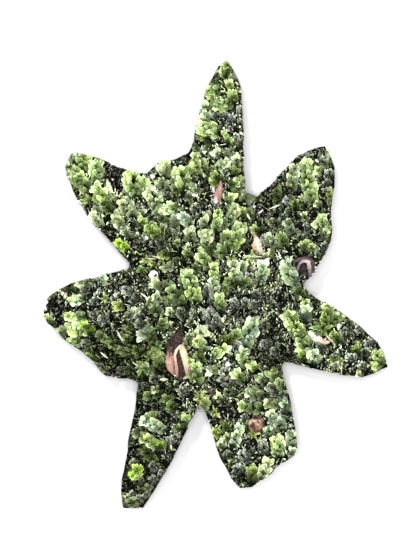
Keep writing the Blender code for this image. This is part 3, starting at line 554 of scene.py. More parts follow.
def make_leaf_colours():
    """A leaf's colours along and across its blade: painted shade in the groove where leaves overlap, a painted
    highlight along the rim and a thin painted shadow line at its outline.
    """
    group, given, made = new_group(
        "leaf_colours", "ShaderNodeTree",
        [("Groove", "NodeSocketColor", None), ("Blade", "NodeSocketColor", None),
         ("Rim", "NodeSocketColor", None)],
        [("Colour", "NodeSocketColor"), ("Height", "NodeSocketFloat")])
    blade_map = add_node(group, "ShaderNodeUVMap", uv_map="blade").outputs[0]
    split = add_node(group, "ShaderNodeSeparateXYZ", {0: blade_map})
    across = maths(group, "ABSOLUTE", maths(group, "MULTIPLY_ADD", split.outputs[0], 2.0, -1.0))
    along = split.outputs[1]
    tint = attribute(group, "tint")
    age = attribute(group, "age")
    # Painted shade at the blade's base, where the leaf before it overlaps, then the blade's own colour.
    rise = between(group, along, 0.15, 0.50)
    colour = mixed(group, rise, given.outputs["Groove"], given.outputs["Blade"])
    edge = maths(group, "MAXIMUM", maths(group, "MULTIPLY", across, rise), along)
    # A painted highlight along the rim and tip, stronger on lighter leaves.
    rim = maths(group, "MULTIPLY", between(group, edge, 0.62, 0.86), between(group, tint, 0.0, 1.0, 0.45, 1.0))
    colour = mixed(group, rim, colour, given.outputs["Rim"])
    # A thin painted shadow line along the leaf's outline.
    painted_shadow_line = between(group, edge, 0.90, 1.0, 0.0, 0.9)
    colour = mixed(group, painted_shadow_line, colour, given.outputs["Groove"])
    rib = between(group, across, 0.0, 0.14, 0.80, 1.0)
    strength = maths(group, "MULTIPLY", rib, between(group, tint, 0.0, 1.0, 0.45, 1.70))
    # Darker towards the shoot's root: partly older leaves, partly painted shade deeper in the cushion.
    strength = maths(group, "MULTIPLY", strength, between(group, age, 0.1, 1.0, 1.0, 0.28))
    place = add_node(group, "ShaderNodeTexCoord").outputs["Object"]
    regions = add_node(group, "ShaderNodeTexNoise", {"Vector": place, "Scale": 260.0, "Detail": 1.0})
    yellower = between(group, regions.outputs[0], 0.40, 0.62)
    colour = mixed(group, yellower, colour, (1.02, 1.0, 0.80, 1), "MULTIPLY")
    blotches = add_node(group, "ShaderNodeGroup", node_tree=bpy.data.node_groups["blotches"])
    strength = maths(group, "MULTIPLY", strength, blotches.outputs["Factor"])
    scaled = add_node(group, "ShaderNodeVectorMath", {0: colour, "Scale": strength}, operation="SCALE")
    group.links.new(scaled.outputs[0], made.inputs["Colour"])
    group.links.new(maths(group, "SUBTRACT", blotches.outputs["Height"], rib), made.inputs["Height"])
    return group


def new_material(name, roughness, **sockets):
    """A material with its tree and its Principled shader, plain values set on the shader itself."""
    made = bpy.data.materials.new(name)
    made.use_nodes = True
    shader = made.node_tree.nodes["Principled BSDF"]
    shader.inputs["Roughness"].default_value = roughness
    for socket, value in sockets.items():
        shader.inputs[socket.replace("_", " ")].default_value = value
    return made, made.node_tree, shader


def bump_from(tree, shader, height, distance, strength=0.6):
    bump = add_node(tree, "ShaderNodeBump", {"Height": height, "Distance": distance, "Strength": strength})
    tree.links.new(bump.outputs[0], shader.inputs["Normal"])


def leaf_finish(tint):
    """Moist moss leaves of one tint, with a thin sheen of water."""
    made, tree, shader = new_material("moss_leaf_" + tint, 0.4, Specular_IOR_Level=0.1, Coat_Roughness=0.12)
    place = add_node(tree, "ShaderNodeTexCoord").outputs["Object"]
    drops = add_node(tree, "ShaderNodeTexNoise", {"Vector": place, "Scale": 1600.0, "Detail": 2.0})
    tree.links.new(between(tree, drops.outputs[0], 0.55, 0.62, 0.0, 0.6), shader.inputs["Coat Weight"])
    # Painted shade colour, blade colour and painted highlight colour.
    painted_shade, blade, rim = LEAF_TINTS[tint]
    sockets = {"Groove": opaque(painted_shade), "Blade": opaque(blade), "Rim": opaque(rim)}
    colours = add_node(tree, "ShaderNodeGroup", node_tree=bpy.data.node_groups["leaf_colours"])
    for name, value in sockets.items():
        colours.inputs[name].default_value = value
    tree.links.new(colours.outputs["Colour"], shader.inputs["Base Color"])
    bump_from(tree, shader, colours.outputs["Height"], 0.05 * MM)
    return made


def carpet_finish(name):
    """The carpet's leaves: each sprig takes its tint between dark, green and pale from the carpet."""
    made, tree, shader = new_material(name, 0.5, Specular_IOR_Level=0.06)
    tones = {}
    for tint, given in CARPET_TINTS.items():
        # Each tone's first colour is painted shade and its last a painted highlight.
        colours = add_node(tree, "ShaderNodeGroup", node_tree=bpy.data.node_groups["leaf_colours"])
        for label, colour in zip(("Groove", "Blade", "Rim"), given):
            colours.inputs[label].default_value = opaque(colour)
        tones[tint] = colours
    greener = mixed(tree, attribute(tree, "green"), tones["dark"].outputs[0], tones["green"].outputs[0])
    paler = mixed(tree, attribute(tree, "pale"), greener, tones["silver"].outputs[0])
    # Most sprigs dark and a few bright; the bright ones are partly pale leaves and partly painted glints off wet
    # leaves.
    spread = maths(tree, "POWER", attribute(tree, "tint"), 3.0)
    strength = between(tree, spread, 0.0, 1.0, 0.03, 1.6)
    zone = between(tree, attribute(tree, "bright"), 0.0, 1.0, 0.35, 1.7)
    strength = maths(tree, "MULTIPLY", strength, zone)
    scaled = add_node(tree, "ShaderNodeVectorMath", {0: paler, "Scale": strength}, operation="SCALE")
    tree.links.new(scaled.outputs[0], shader.inputs["Base Color"])
    return made


def speckled_finish(name, colours, scale, roughness, speck_colour, speck_amount):
    """Dark humus or felt: two uneven colours, fine light specks and a crumbly bump."""
    made, tree, shader = new_material(name, roughness, Specular_IOR_Level=0.0)
    place = add_node(tree, "ShaderNodeTexCoord").outputs["Object"]
    cloud = add_node(tree, "ShaderNodeTexNoise", {"Vector": place, "Scale": scale, "Detail": 6.0, "Roughness": 0.7})
    grain = add_node(tree, "ShaderNodeTexNoise", {"Vector": place, "Scale": scale * 5, "Detail": 3.0})
    base = mixed(tree, between(tree, cloud.outputs[0], 0.35, 0.68), opaque(colours[0]), opaque(colours[1]))
    specks = between(tree, grain.outputs[0], 0.66 - speck_amount, 0.72)
    tree.links.new(mixed(tree, specks, base, opaque(speck_colour)), shader.inputs["Base Color"])
    height = maths(tree, "ADD", cloud.outputs[0], maths(tree, "MULTIPLY", grain.outputs[0], 0.4))
    bump_from(tree, shader, height, 0.35 * MM, 1.0)
    return made


def grit_finish():
    """Crumbs of soil, from near black to pale grey."""
    made, tree, shader = new_material("soil_grit", 0.55)
    shade = between(tree, attribute(tree, "tint"), 0.35, 1.0)
    tree.links.new(mixed(tree, shade, opaque(GRIT_COLOURS[0]), opaque(GRIT_COLOURS[1])), shader.inputs["Base Color"])
    return made


def loose_finish(name):
    """A dead or dry piece: its shade runs from dark over middle to light, with fibres along it."""
    made, tree, shader = new_material(name, 0.6, Specular_IOR_Level=0.3)
    fibre_map = add_node(tree, "ShaderNodeUVMap", uv_map="blade").outputs[0]
    stretched = add_node(tree, "ShaderNodeVectorMath", {0: fibre_map, 1: (11.0, 2.2, 1.0)}, operation="MULTIPLY")
    fibres = add_node(tree, "ShaderNodeTexNoise", {"Vector": stretched.outputs[0], "Scale": 1.0, "Detail": 5.0})
    lively = maths(tree, "MULTIPLY_ADD", attribute(tree, "tint"), 0.8, 0.35)
    streaks = maths(tree, "MULTIPLY", maths(tree, "SUBTRACT", fibres.outputs[0], 0.5), lively)
    place = add_node(tree, "ShaderNodeTexCoord").outputs["Object"]
    specks = add_node(tree, "ShaderNodeTexNoise", {"Vector": place, "Scale": 2600.0, "Detail": 3.0})
    darkness = maths(tree, "SUBTRACT", 1.0, attribute(tree, "tint"))
    mottle = maths(tree, "MULTIPLY", maths(tree, "SUBTRACT", specks.outputs[0], 0.5), darkness)
    streaks = maths(tree, "MULTIPLY_ADD", mottle, 1.1, streaks)
    shade = maths(tree, "ADD", streaks, attribute(tree, "tint"))
    dark, middle, light = LOOSE_TINTS[name]
    lower = mixed(tree, between(tree, shade, 0.0, 0.5), opaque(dark), opaque(middle))
    colour = mixed(tree, between(tree, shade, 0.5, 0.95), lower, opaque(light))
    tree.links.new(colour, shader.inputs["Base Color"])
    bump_from(tree, shader, fibres.outputs[0], 0.15 * MM)
    return made


def leaf_blade(name, rows, columns, roundness, cup, droop):
    """A leaf one unit long along +Y and one wide, arched across and drooping at its tip."""
    verts, faces, places = [], [], []
    for row in range(rows + 1):
        along = row / rows
        half = 0.5 * max(0.06, math.sin(math.pi * min(1, 0.06 + 0.94 * along**roundness))) ** 0.62
        for column in range(columns + 1):
            across = 2 * column / columns - 1
            arch = -cup * (across * half) ** 2 * 4
            verts.append((across * half, along, arch - droop * along**2))
            places.append((column / columns, along))
    for row in range(rows):
        for column in range(columns):
            first = row * (columns + 1) + column
            faces.append((first, first + 1, first + columns + 2, first + columns + 1))
    mesh = bpy.data.meshes.new(name)
    mesh.from_pydata(verts, [], faces)
    blade_map = mesh.uv_layers.new(name="blade")
    for loop in mesh.loops:
        blade_map.data[loop.index].uv = places[loop.vertex_index]
    mesh.shade_smooth()
    made = bpy.data.objects.new(name, mesh)
    return made


def sprig(name, leaves, length, width, rise, seed):
    """A tiny tuft of narrow leaves that spread from one point, for the fine carpet."""
    local = random.Random(seed)
    verts, faces, places = [], [], []
    for leaf in range(leaves):
        turn = math.tau * (leaf + local.uniform(-0.3, 0.3)) / leaves
        lift = math.radians(local.uniform(*rise))
        reach = length * local.uniform(0.7, 1.15)
        out = Vector((math.cos(turn), math.sin(turn), 0))
        side = Vector((-out.y, out.x, 0)) * width / 2
        up = Vector((0, 0, 1))
        middle = (out * math.cos(lift) + up * math.sin(lift)) * reach * 0.55
        tip = middle + (out * math.cos(lift * 0.6) + up * math.sin(lift * 0.6)) * reach * 0.45
        first = len(verts)
        verts += [side * -0.4, side * 0.4, middle - side, middle + side, tip]
        places += [(0.3, 0), (0.7, 0), (0, 0.55), (1, 0.55), (0.5, 1)]
        faces += [(first, first + 1, first + 3, first + 2), (first + 2, first + 3, first + 4)]
    mesh = bpy.data.meshes.new(name)
    mesh.from_pydata(verts, [], faces)
    blade_map = mesh.uv_layers.new(name="blade")
    for loop in mesh.loops:
        blade_map.data[loop.index].uv = places[loop.vertex_index]
    mesh.shade_smooth()
    return bpy.data.objects.new(name, mesh)


def leaf_turn(forward, up):
    """The rotation that lays a leaf's length along forward and its face towards up."""
    forward = forward.normalized()
    right = forward.cross(up).normalized()
    face = right.cross(forward)
    return Matrix((right, forward, face)).transposed().to_quaternion()


def grow_shoot(leaves, width, places, lift, raised, dim, fineness=1):
    """Adds the leaves of one shoot: overlapping ranks at its sides and on its back, and a tuft at the tip."""
    half = width * GRID / 2
    size = min(half * LEAF_LENGTH, LARGEST_LEAF) * fineness
    axis = curve_through([plan(*place) for place in reversed(places)], size * LEAF_SPACING)
    last = len(axis) - 1
    up = Vector((0, 0, 1))
    shade = rng.uniform(-0.15, 0.15)
    stations = []
    for index, place in enumerate(axis):
        u = index / last
        swell = half * math.sqrt(math.sin(math.pi * (0.13 + 0.77 * u)))
        centre = Vector((*place, dome_height(place) + swell * 0.5 + lift * u**1.4 + raised))
        stations.append((centre, half * (0.78 + 0.26 * math.sin(math.pi * u)), u))
    for index, (centre, reach, u) in enumerate(stations):
        ahead = stations[min(index + 1, last)][0] - stations[max(index - 1, 0)][0]
        along = ahead.normalized()
        side = up.cross(along).normalized()
        inset = max(0, reach - size * 0.7)
        ranks = [(1 if index % 2 else -1, inset, 46, 10, 1.0)]
        if inset > 0.1 * MM or index % 3 == 1:
            ranks.append((rng.choice((-1, 1)), inset * 0.45, 18, 20, 0.8 if inset > 0.1 * MM else 0.6))
        if inset > size * 0.5:
            ranks.append((rng.choice((-1, 1)), inset * rng.uniform(0.1, 0.8), 30, 16, 0.9))
        for hand, offset, spread, pitch, share in ranks:
            angle = math.radians(spread - 14 * u**3 + rng.uniform(-13, 13)) * hand
            lean = math.radians(pitch + rng.uniform(-9, 9) + 6 * u + (28 if rng.random() < 0.12 else 0))
            heading = along * math.cos(angle) + side * math.sin(angle)
            forward = heading * math.cos(lean) + up * math.sin(lean)
            face = up - along * 0.2 + side * hand * 0.35
            length = size * share * rng.uniform(0.72, 1.25)
            place = centre + side * hand * offset + up * (half * (0.3 if pitch > 15 else 0) - offset * 0.3)
            tint = min(1, max(0, rng.random() * 0.9 + 0.05 + shade))
            # Towards the root partly older leaves and partly painted shade deeper in the cushion, plus the shoot's dim.
            age = min(1, max(0, (1 - u) * 0.9 + dim))
            leaves.append((place, leaf_turn(forward, face), length, length * LEAF_WIDTH, age, tint))
    tip = stations[-1][0]
    along = (tip - stations[-2][0]).normalized()
    side = up.cross(along).normalized()
    for angle, lean, share in ((-60, 12, 0.95), (58, 14, 0.95), (-26, 20, 0.9), (28, 24, 0.9), (0, 40, 0.7)):
        turned = math.radians(angle + rng.uniform(-12, 12))
        pitch = math.radians(lean + rng.uniform(-8, 8))
        heading = along * math.cos(turned) + side * math.sin(turned)
        forward = heading * math.cos(pitch) + up * math.sin(pitch)
        length = size * share * 0.85
        age = max(0, dim)
        foot = tip + side * math.sin(turned) * max(0, half * 0.8 - size * 0.6)
        tint = min(1, max(0, rng.random() * 0.4 + 0.5 + shade))
        leaves.append((foot, leaf_turn(forward, up - heading * 0.5), length, length * LEAF_WIDTH, age, tint))


def spread_rosette(leaves, place, reach, count):
    """Adds narrow leaves that spread like a star from one place, a lower ring and a steeper one."""
    up = Vector((0, 0, 1))
    foot = Vector((*place, dome_height(place) + 1.2 * MM))
    for ring, pitch, size in ((0, 14, 1.0), (1, 42, 0.6)):
        for leaf in range(count):
            turn = math.tau * (leaf + 0.5 * ring + rng.uniform(-0.35, 0.35)) / count
            lean = math.radians(pitch + rng.uniform(-6, 6))
            out = Vector((math.cos(turn), math.sin(turn), 0))
            forward = out * math.cos(lean) + up * math.sin(lean)
            length = reach * size * rng.uniform(0.65, 1.15)
            leaves.append((foot, leaf_turn(forward, up - out * 0.4), length, length * 0.34, 0.0,
                           rng.uniform(0.15, 0.7)))


def point_cloud(name, leaves):
    """A mesh of single points that carries each leaf's turn, size, tint and darkening."""
    mesh = bpy.data.meshes.new(name)
    mesh.from_pydata([place for place, *_ in leaves], [], [])
    turns = mesh.attributes.new("turn", "QUATERNION", "POINT")
    turns.data.foreach_set("value", np.array([tuple(turn) for _, turn, *_ in leaves], np.float32).ravel())
    sizes = mesh.attributes.new("size", "FLOAT_VECTOR", "POINT")
    rows = [(width, length, length) for _, _, length, width, *_ in leaves]
    sizes.data.foreach_set("vector", np.array(rows, np.float32).ravel())
    tints = mesh.attributes.new("tint", "FLOAT", "POINT")
    tints.data.foreach_set("value", np.array([tint for *_, tint in leaves], np.float32))
    darkening_layer = mesh.attributes.new("age", "FLOAT", "POINT")
    darkening_layer.data.foreach_set("value", np.array([age for *_, age, _ in leaves], np.float32))
    return bpy.data.objects.new(name, mesh)


def bake_cells(tree, geometry, number, count):
    """Lays each instance's blade map in its own cell of a second map, for the export's baking."""
    side = maths(tree, "CEIL", maths(tree, "SQRT", count))
    column = maths(tree, "MODULO", number, side)
    row = maths(tree, "FLOOR", maths(tree, "DIVIDE", number, side))
    blade_map = add_node(tree, "GeometryNodeInputNamedAttribute", {"Name": "blade"}, data_type="FLOAT_VECTOR")
    split = add_node(tree, "ShaderNodeSeparateXYZ", {0: blade_map.outputs[0]})
    cell = []
    for start, within in ((column, split.outputs[0]), (row, split.outputs[1])):
        inner = maths(tree, "MULTIPLY_ADD", within, 0.84, 0.08)
        cell.append(maths(tree, "DIVIDE", maths(tree, "ADD", start, inner), side))
    joined = add_node(tree, "ShaderNodeCombineXYZ", {0: cell[0], 1: cell[1]})
    stored = add_node(tree, "GeometryNodeStoreNamedAttribute",
                      {"Geometry": geometry, "Name": "OFBake", "Value": joined.outputs[0]},
                      data_type="FLOAT2", domain="CORNER")
    return stored.outputs[0]


def named(tree, name, data_type="FLOAT"):
    return add_node(tree, "GeometryNodeInputNamedAttribute", {"Name": name}, data_type=data_type).outputs[0]


def realized(tree, instances, finish):
    """Numbers the instances, makes them real, gives each a bake cell and sets their finish."""
    count = add_node(tree, "GeometryNodeAttributeDomainSize", {0: instances}, component="INSTANCES")
    index = add_node(tree, "GeometryNodeInputIndex").outputs[0]
    numbered = add_node(tree, "GeometryNodeStoreNamedAttribute",
                        {"Geometry": instances, "Name": "number", "Value": index},
                        data_type="FLOAT", domain="INSTANCE").outputs[0]
    real = add_node(tree, "GeometryNodeRealizeInstances", {0: numbered}).outputs[0]
    celled = bake_cells(tree, real, named(tree, "number"), count.outputs["Instance Count"])
    return add_node(tree, "GeometryNodeSetMaterial", {"Geometry": celled, "Material": finish}).outputs[0]


def make_plant_leaves():
    """Puts the leaf on every point, turned and sized by the point's own attributes."""
    group, given, made = new_group(
        "plant_leaves", "GeometryNodeTree",
        [("Points", "NodeSocketGeometry", None), ("Leaf", "NodeSocketObject", None),
         ("Finish", "NodeSocketMaterial", None)],
        [("Leaves", "NodeSocketGeometry")])
    leaf = add_node(group, "GeometryNodeObjectInfo", {"Object": given.outputs["Leaf"]})
    placed = add_node(group, "GeometryNodeInstanceOnPoints",
                      {"Points": given.outputs["Points"], "Instance": leaf.outputs["Geometry"],
                       "Rotation": named(group, "turn", "QUATERNION"), "Scale": named(group, "size", "FLOAT_VECTOR")})
    leaves = realized(group, placed.outputs[0], given.outputs["Finish"])
    group.links.new(leaves, made.inputs[0])
    return group


def make_cover_surface():
    """Scatters sprigs over a surface, denser where the named attribute is high, leaning outwards."""
    group, given, made = new_group(
        "cover_surface", "GeometryNodeTree",
        [("Surface", "NodeSocketGeometry", None), ("Sprigs", "NodeSocketCollection", None),
         ("Where", "NodeSocketString", None), ("Density", "NodeSocketFloat", 1.0e6),
         ("Smallest", "NodeSocketFloat", 0.7), ("Largest", "NodeSocketFloat", 1.3),
         ("Upright", "NodeSocketFloat", 0.5), ("Seed", "NodeSocketInt", 1),
         ("Finish", "NodeSocketMaterial", None)],
        [("Cover", "NodeSocketGeometry")])
    density = maths(group, "MULTIPLY", given.outputs["Density"],
                    add_node(group, "GeometryNodeInputNamedAttribute",
                             {"Name": given.outputs["Where"]}, data_type="FLOAT").outputs[0])
    points = add_node(group, "GeometryNodeDistributePointsOnFaces",
                      {"Mesh": given.outputs["Surface"], "Density": density, "Seed": given.outputs["Seed"]})
    up = add_node(group, "ShaderNodeCombineXYZ", {0: 0.0, 1: 0.0, 2: 1.0}).outputs[0]
    lean = add_node(group, "ShaderNodeMix",
                    {0: given.outputs["Upright"], 4: points.outputs["Normal"], 5: up}, data_type="VECTOR").outputs[1]
    jitter = add_node(group, "FunctionNodeRandomValue",
                      {0: (-0.45, -0.45, 0.0), 1: (0.45, 0.45, 0.0), "Seed": 3}, data_type="FLOAT_VECTOR").outputs[0]
    stance = add_node(group, "ShaderNodeVectorMath", {0: lean, 1: jitter}, operation="ADD").outputs[0]
    upright = add_node(group, "FunctionNodeAlignRotationToVector", {"Vector": stance}, axis="Z").outputs[0]
    spin = add_node(group, "FunctionNodeRandomValue", {2: 0.0, 3: math.tau, "Seed": 5}).outputs[1]
    about = add_node(group, "ShaderNodeCombineXYZ", {2: spin}).outputs[0]
    turned = add_node(group, "FunctionNodeRotateRotation",
                      {"Rotation": upright, "Rotate By": add_node(group, "FunctionNodeEulerToRotation", {0: about}).outputs[0]},
                      rotation_space="LOCAL").outputs[0]
    scale = add_node(group, "FunctionNodeRandomValue",
                     {2: given.outputs["Smallest"], 3: given.outputs["Largest"], "Seed": 7}).outputs[1]
    sprigs = add_node(group, "GeometryNodeCollectionInfo",
                      {"Collection": given.outputs["Sprigs"], "Separate Children": True, "Reset Children": True})
    placed = add_node(group, "GeometryNodeInstanceOnPoints",
                      {"Points": points.outputs["Points"], "Instance": sprigs.outputs[0], "Pick Instance": True,
                       "Rotation": turned, "Scale": scale}).outputs[0]
    tint = add_node(group, "FunctionNodeRandomValue", {2: 0.0, 3: 1.0, "Seed": 9}).outputs[1]
    tinted = add_node(group, "GeometryNodeStoreNamedAttribute",
                      {"Geometry": placed, "Name": "tint", "Value": tint}, data_type="FLOAT", domain="INSTANCE")
    cover = realized(group, tinted.outputs[0], given.outputs["Finish"])
    group.links.new(cover, made.inputs[0])
    return group


def applied(host, group, **inputs):
    """The host's mesh after a node group, as a plain mesh object with the host's name."""
    bpy.context.scene.collection.objects.link(host)
    modifier = host.modifiers.new(group.name, "NODES")
    modifier.node_group = group
    for item in group.interface.items_tree:
        if item.item_type == "SOCKET" and item.in_out == "INPUT" and item.name in inputs:
            modifier[item.identifier] = inputs[item.name]
    graph = bpy.context.evaluated_depsgraph_get()
    mesh = bpy.data.meshes.new_from_object(host.evaluated_get(graph), depsgraph=graph)
    name = host.name
    host.modifiers.clear()
    bpy.data.objects.remove(host)
    mesh.name = name
    finish = mesh.materials[-1]
    mesh.materials.clear()
    mesh.materials.append(finish)
    mesh.polygons.foreach_set("material_index", np.zeros(len(mesh.polygons), np.int32))
    return bpy.data.objects.new(name, mesh)


def read_vectors(mesh, name):
    """A vector attribute of a mesh's points, as rows."""
    values = np.empty(len(mesh.vertices) * 3, np.float32)
    mesh.attributes[name].data.foreach_get("vector", values)
    return values.reshape(-1, 3).astype(float)


def read_normals(mesh):
    values = np.empty(len(mesh.vertices) * 3, np.float32)
    mesh.vertex_normals.foreach_get("vector", values)
    return values.reshape(-1, 3).astype(float)


def move_vertices(mesh, places):
    mesh.attributes["position"].data.foreach_set("vector", places.astype(np.float32).ravel())
    mesh.update()


def foot_rim(node):
    """The outline of a solid's flat foot, as the longest loop around it."""
    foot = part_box(node)[0].z
    mesh = bmesh.new()
    mesh.from_mesh(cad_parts[node].data)
    bmesh.ops.remove_doubles(mesh, verts=mesh.verts, dist=1e-6)
    level = {face for face in mesh.faces if all(abs(vert.co.z - foot) < 1e-5 for vert in face.verts)}
    following = {}
    for face in level:
        for loop in face.loops:
            if loop.link_loop_radial_next.face not in level:
                following[loop.vert.index] = (loop.link_loop_next.vert.index, loop.vert.co.copy())
    loops = []
    while following:
        start = next(iter(following))
        loop, here = [], start
        while here in following:
            here, place = following.pop(here)
            loop.append(place)
        loops.append(loop)
    mesh.free()
    return np.array([(place.x, place.y) for place in max(loops, key=len)])


def inside_patch(places, rims):
    """Which places lie within one of the rims, by the crossings to their right."""
    found = np.zeros(len(places), bool)
    for rim in rims:
        crossings = np.zeros(len(places), int)
        for a, b in zip(rim, np.roll(rim, -1, axis=0)):
            spans = (a[1] > places[:, 1]) != (b[1] > places[:, 1])
            reach = a[0] + (places[:, 1] - a[1]) * (b[0] - a[0]) / (b[1] - a[1] if b[1] != a[1] else 1)
            crossings += spans & (places[:, 0] < reach)
        found |= crossings % 2 == 1
    return found


def trim_to_patch(made, rims):
    """Cuts a piece off at the patch's edge: whatever reaches over it is drawn back onto it."""
    places = read_vectors(made.data, "position")
    start = np.concatenate(rims)
    end = np.concatenate([np.roll(rim, -1, axis=0) for rim in rims])
    outside = np.flatnonzero(~inside_patch(places, rims))
    along = end - start
    for index in outside:
        offset = places[index, :2] - start
        t = np.clip((offset * along).sum(axis=1) / (along**2).sum(axis=1), 0, 1)
        nearest = start + along * t[:, None]
        gaps = np.hypot(*(places[index, :2] - nearest).T)
        places[index, :2] = nearest[gaps.argmin()]
    move_vertices(made.data, places)


def add_piece(made, finish=None, replaces=()):
    """Links a finished mesh, gives it its finish and lets it ride on the frame."""
    if made.name not in bpy.context.scene.collection.objects:
        bpy.context.scene.collection.objects.link(made)
    if finish:
        made.data.materials.clear()
        made.data.materials.append(finish)
    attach(made, "root")
    if replaces:
        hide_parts(*replaces)
    return made


def add_large_shoots(rims):
    blade = leaf_blade("large_leaf", 6, 4, 1.1, -0.16, 0.2)
    for region, shoots in SHOOTS.items():
        for number, (tint, width, *places) in enumerate(shoots, 1):
            leaves = []
            grow_shoot(leaves, width * LARGE_SPREAD, places, SHOOT_LIFT, LARGE_RAISE, -0.15)
            name = f"shoot_{region}_{number}"
            cloud = point_cloud("leafy_" + name, leaves)
            made = applied(cloud, bpy.data.node_groups["plant_leaves"], Leaf=blade, Finish=finishes[tint])
            trim_to_patch(made, rims)
            add_piece(made, replaces=[name])


def filling_shoots(rims):
    """Shoots that fill the leafy zones between the placed ones, heading as their neighbours do."""
    taken = [place for shoots in SHOOTS.values() for _, width, *places in shoots
             for place in curve_through([plan(*p) for p in places], 0.8 * MM)]
    taken += [place for _, width, *places in SMALL_SHOOTS
              for place in curve_through([plan(*p) for p in places], 0.8 * MM)]
    taken += [plan(*station[:2]) for strips in STRIPS.values() for _, stations in strips for station in stations]
    rows = np.array([(place.x, place.y) for place in taken])
    low, high = rims[0].min(axis=0), rims[0].max(axis=0)
    found = []
    spots = []
    for x in np.arange(low[0], high[0], FILL_STEP):
        for y in np.arange(low[1], high[1], FILL_STEP):
            spots.append((x + rng.uniform(-0.45, 0.45) * FILL_STEP, y + rng.uniform(-0.45, 0.45) * FILL_STEP))
    rng.shuffle(spots)
    spots = np.array(spots)
    spots = spots[inside_patch(spots, rims)]
    leafy, pale, green, bright, east, north = carpet_at(spots)
    for index, spot in enumerate(spots):
        if rng.random() > leafy[index] * 0.95 or np.hypot(*(rows - spot).T).min() < FILL_GAP:
            continue
        bare = any((plan(*place) - Vector(spot)).length < radius * MM * 0.8 for place, radius in BARE_PATCHES)
        if bare:
            continue
        heading = math.atan2(north[index], east[index]) + rng.gauss(0, 0.45)
        length = rng.uniform(1.4, 4.4) * MM
        step = Vector((math.cos(heading), math.sin(heading))) * length / 2
        middle = Vector(spot)
        ends = [middle + step, middle - step]
        if rng.random() < green[index]:
            tint = rng.choice(("fresh", "fresh", "olive"))
        else:
            tint = rng.choice(("grey", "olive"))
        if rng.random() < pale[index] * 0.45:
            tint = "pale"
        width = rng.uniform(6, 11.5)
        found.append((tint, width, 0.82 - 0.5 * bright[index], *ends))
        rows = np.vstack([rows, *[np.array(end) for end in ends], spot])
    return found


def off_plan(place):
    """The plan grid coordinates of a place in metres."""
    return place.x / GRID + PLAN_MIDDLE.x, PLAN_MIDDLE.y - place.y / GRID


def add_small_shoots(rims):
    blade = leaf_blade("small_leaf", 3, 2, 1.1, -0.14, 0.2)
    by_tint = {}
    roots = np.array([plan(*places[0]) for _, _, *places in SMALL_SHOOTS])
    for (tint, width, *places), bright in zip(SMALL_SHOOTS, carpet_at(roots)[3]):
        grow_shoot(by_tint.setdefault(tint, []), width * 1.15, places, SHOOT_LIFT * 0.8, 0.2 * MM,
                   0.50 - 0.4 * bright, FINENESS.get(tint, 1.15))
    filling = filling_shoots(rims)
    for tint, width, dim, *ends in filling:
        places = [off_plan(end) for end in ends]
        grow_shoot(by_tint.setdefault(tint, []), width, places, SHOOT_LIFT * 0.5, 0, dim, FINENESS.get(tint, 1.15))
    for tint, place, reach, count in ROSETTES:
        spread_rosette(by_tint.setdefault(tint, []), plan(*place), reach * GRID, count)
    for tint, leaves in by_tint.items():
        cloud = point_cloud("small_shoots_" + tint, leaves)
        made = applied(cloud, bpy.data.node_groups["plant_leaves"], Leaf=blade, Finish=finishes[tint])
        trim_to_patch(made, rims)
        add_piece(made)
    return filling


def solid_copy(node, levels):
    """A merged and finely divided copy of a frame solid, as a mesh object of its own."""
    mesh = bmesh.new()
    mesh.from_mesh(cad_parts[node].data)
    bmesh.ops.remove_doubles(mesh, verts=mesh.verts, dist=1e-6)
    for _ in range(levels):
        bmesh.ops.subdivide_edges(mesh, edges=mesh.edges, cuts=1, use_grid_fill=True)
    data = bpy.data.meshes.new(node + "_fine")
    mesh.to_mesh(data)
    mesh.free()
    return bpy.data.objects.new(node + "_fine", data)


def roughen(made, rise, size, foot):
    """Moves a surface in and out by noise, and leaves its flat foot where it is."""
    mesh = made.data
    places = read_vectors(mesh, "position")
    normals = read_normals(mesh)
    for index in np.flatnonzero(places[:, 2] > foot + 0.05 * MM):
        places[index] += normals[index] * rise * noise.fractal(Vector(places[index]) / size, 0.6, 2.0, 3)
    move_vertices(mesh, places)


def clearings(filling):
    """Plan rounds that the carpet's sprigs leave free, under the shoots."""
    found = [(place.x, place.y, width * GRID * 0.35) for _, width, _, *ends in filling for place in ends]
    for _, width, *places in SMALL_SHOOTS:
        for place in curve_through([plan(*p) for p in places], 0.8 * MM):
            found.append((place.x, place.y, width * GRID * 0.35))
    for shoots in SHOOTS.values():
        for _, width, *places in shoots:
            for place in curve_through([plan(*p) for p in places], 0.8 * MM):
                found.append((place.x, place.y, width * GRID * 0.42))
    return found


def carpet_at(places):
    """How leafy, pale, green and bright the carpet is at each place, and its shoots' heading in x and y."""
    total = np.full(len(places), 0.05)
    values = [np.full(len(places), 0.05 * share) for share in (0.5, 0.5, 0.4, 0.4, 0.0, 1.0)]
    for place, reach, *shares, heading in CARPET_ZONES:
        centre = plan(*place)
        gap = np.hypot(places[:, 0] - centre.x, places[:, 1] - centre.y) / (reach * GRID)
        weight = np.exp(-(gap**2) * 2.5)
        total += weight
        turned = math.radians(heading)
        for value, share in zip(values, (*shares, math.cos(turned), math.sin(turned))):
            value += weight * share
    return [value / total for value in values]


def bare_at(places, spread=1):
    """Which places lie within the bare patches, each with a wavering edge and spread by a factor."""
    wobble = 1 + 0.35 * np.array([noise.noise(Vector(spot) / (1.6 * MM)) for spot in places])
    found = np.zeros(len(places), bool)
    for place, radius in BARE_PATCHES:
        centre = plan(*place)
        found |= np.hypot(places[:, 0] - centre.x, places[:, 1] - centre.y) < radius * MM * spread * wobble
    return found


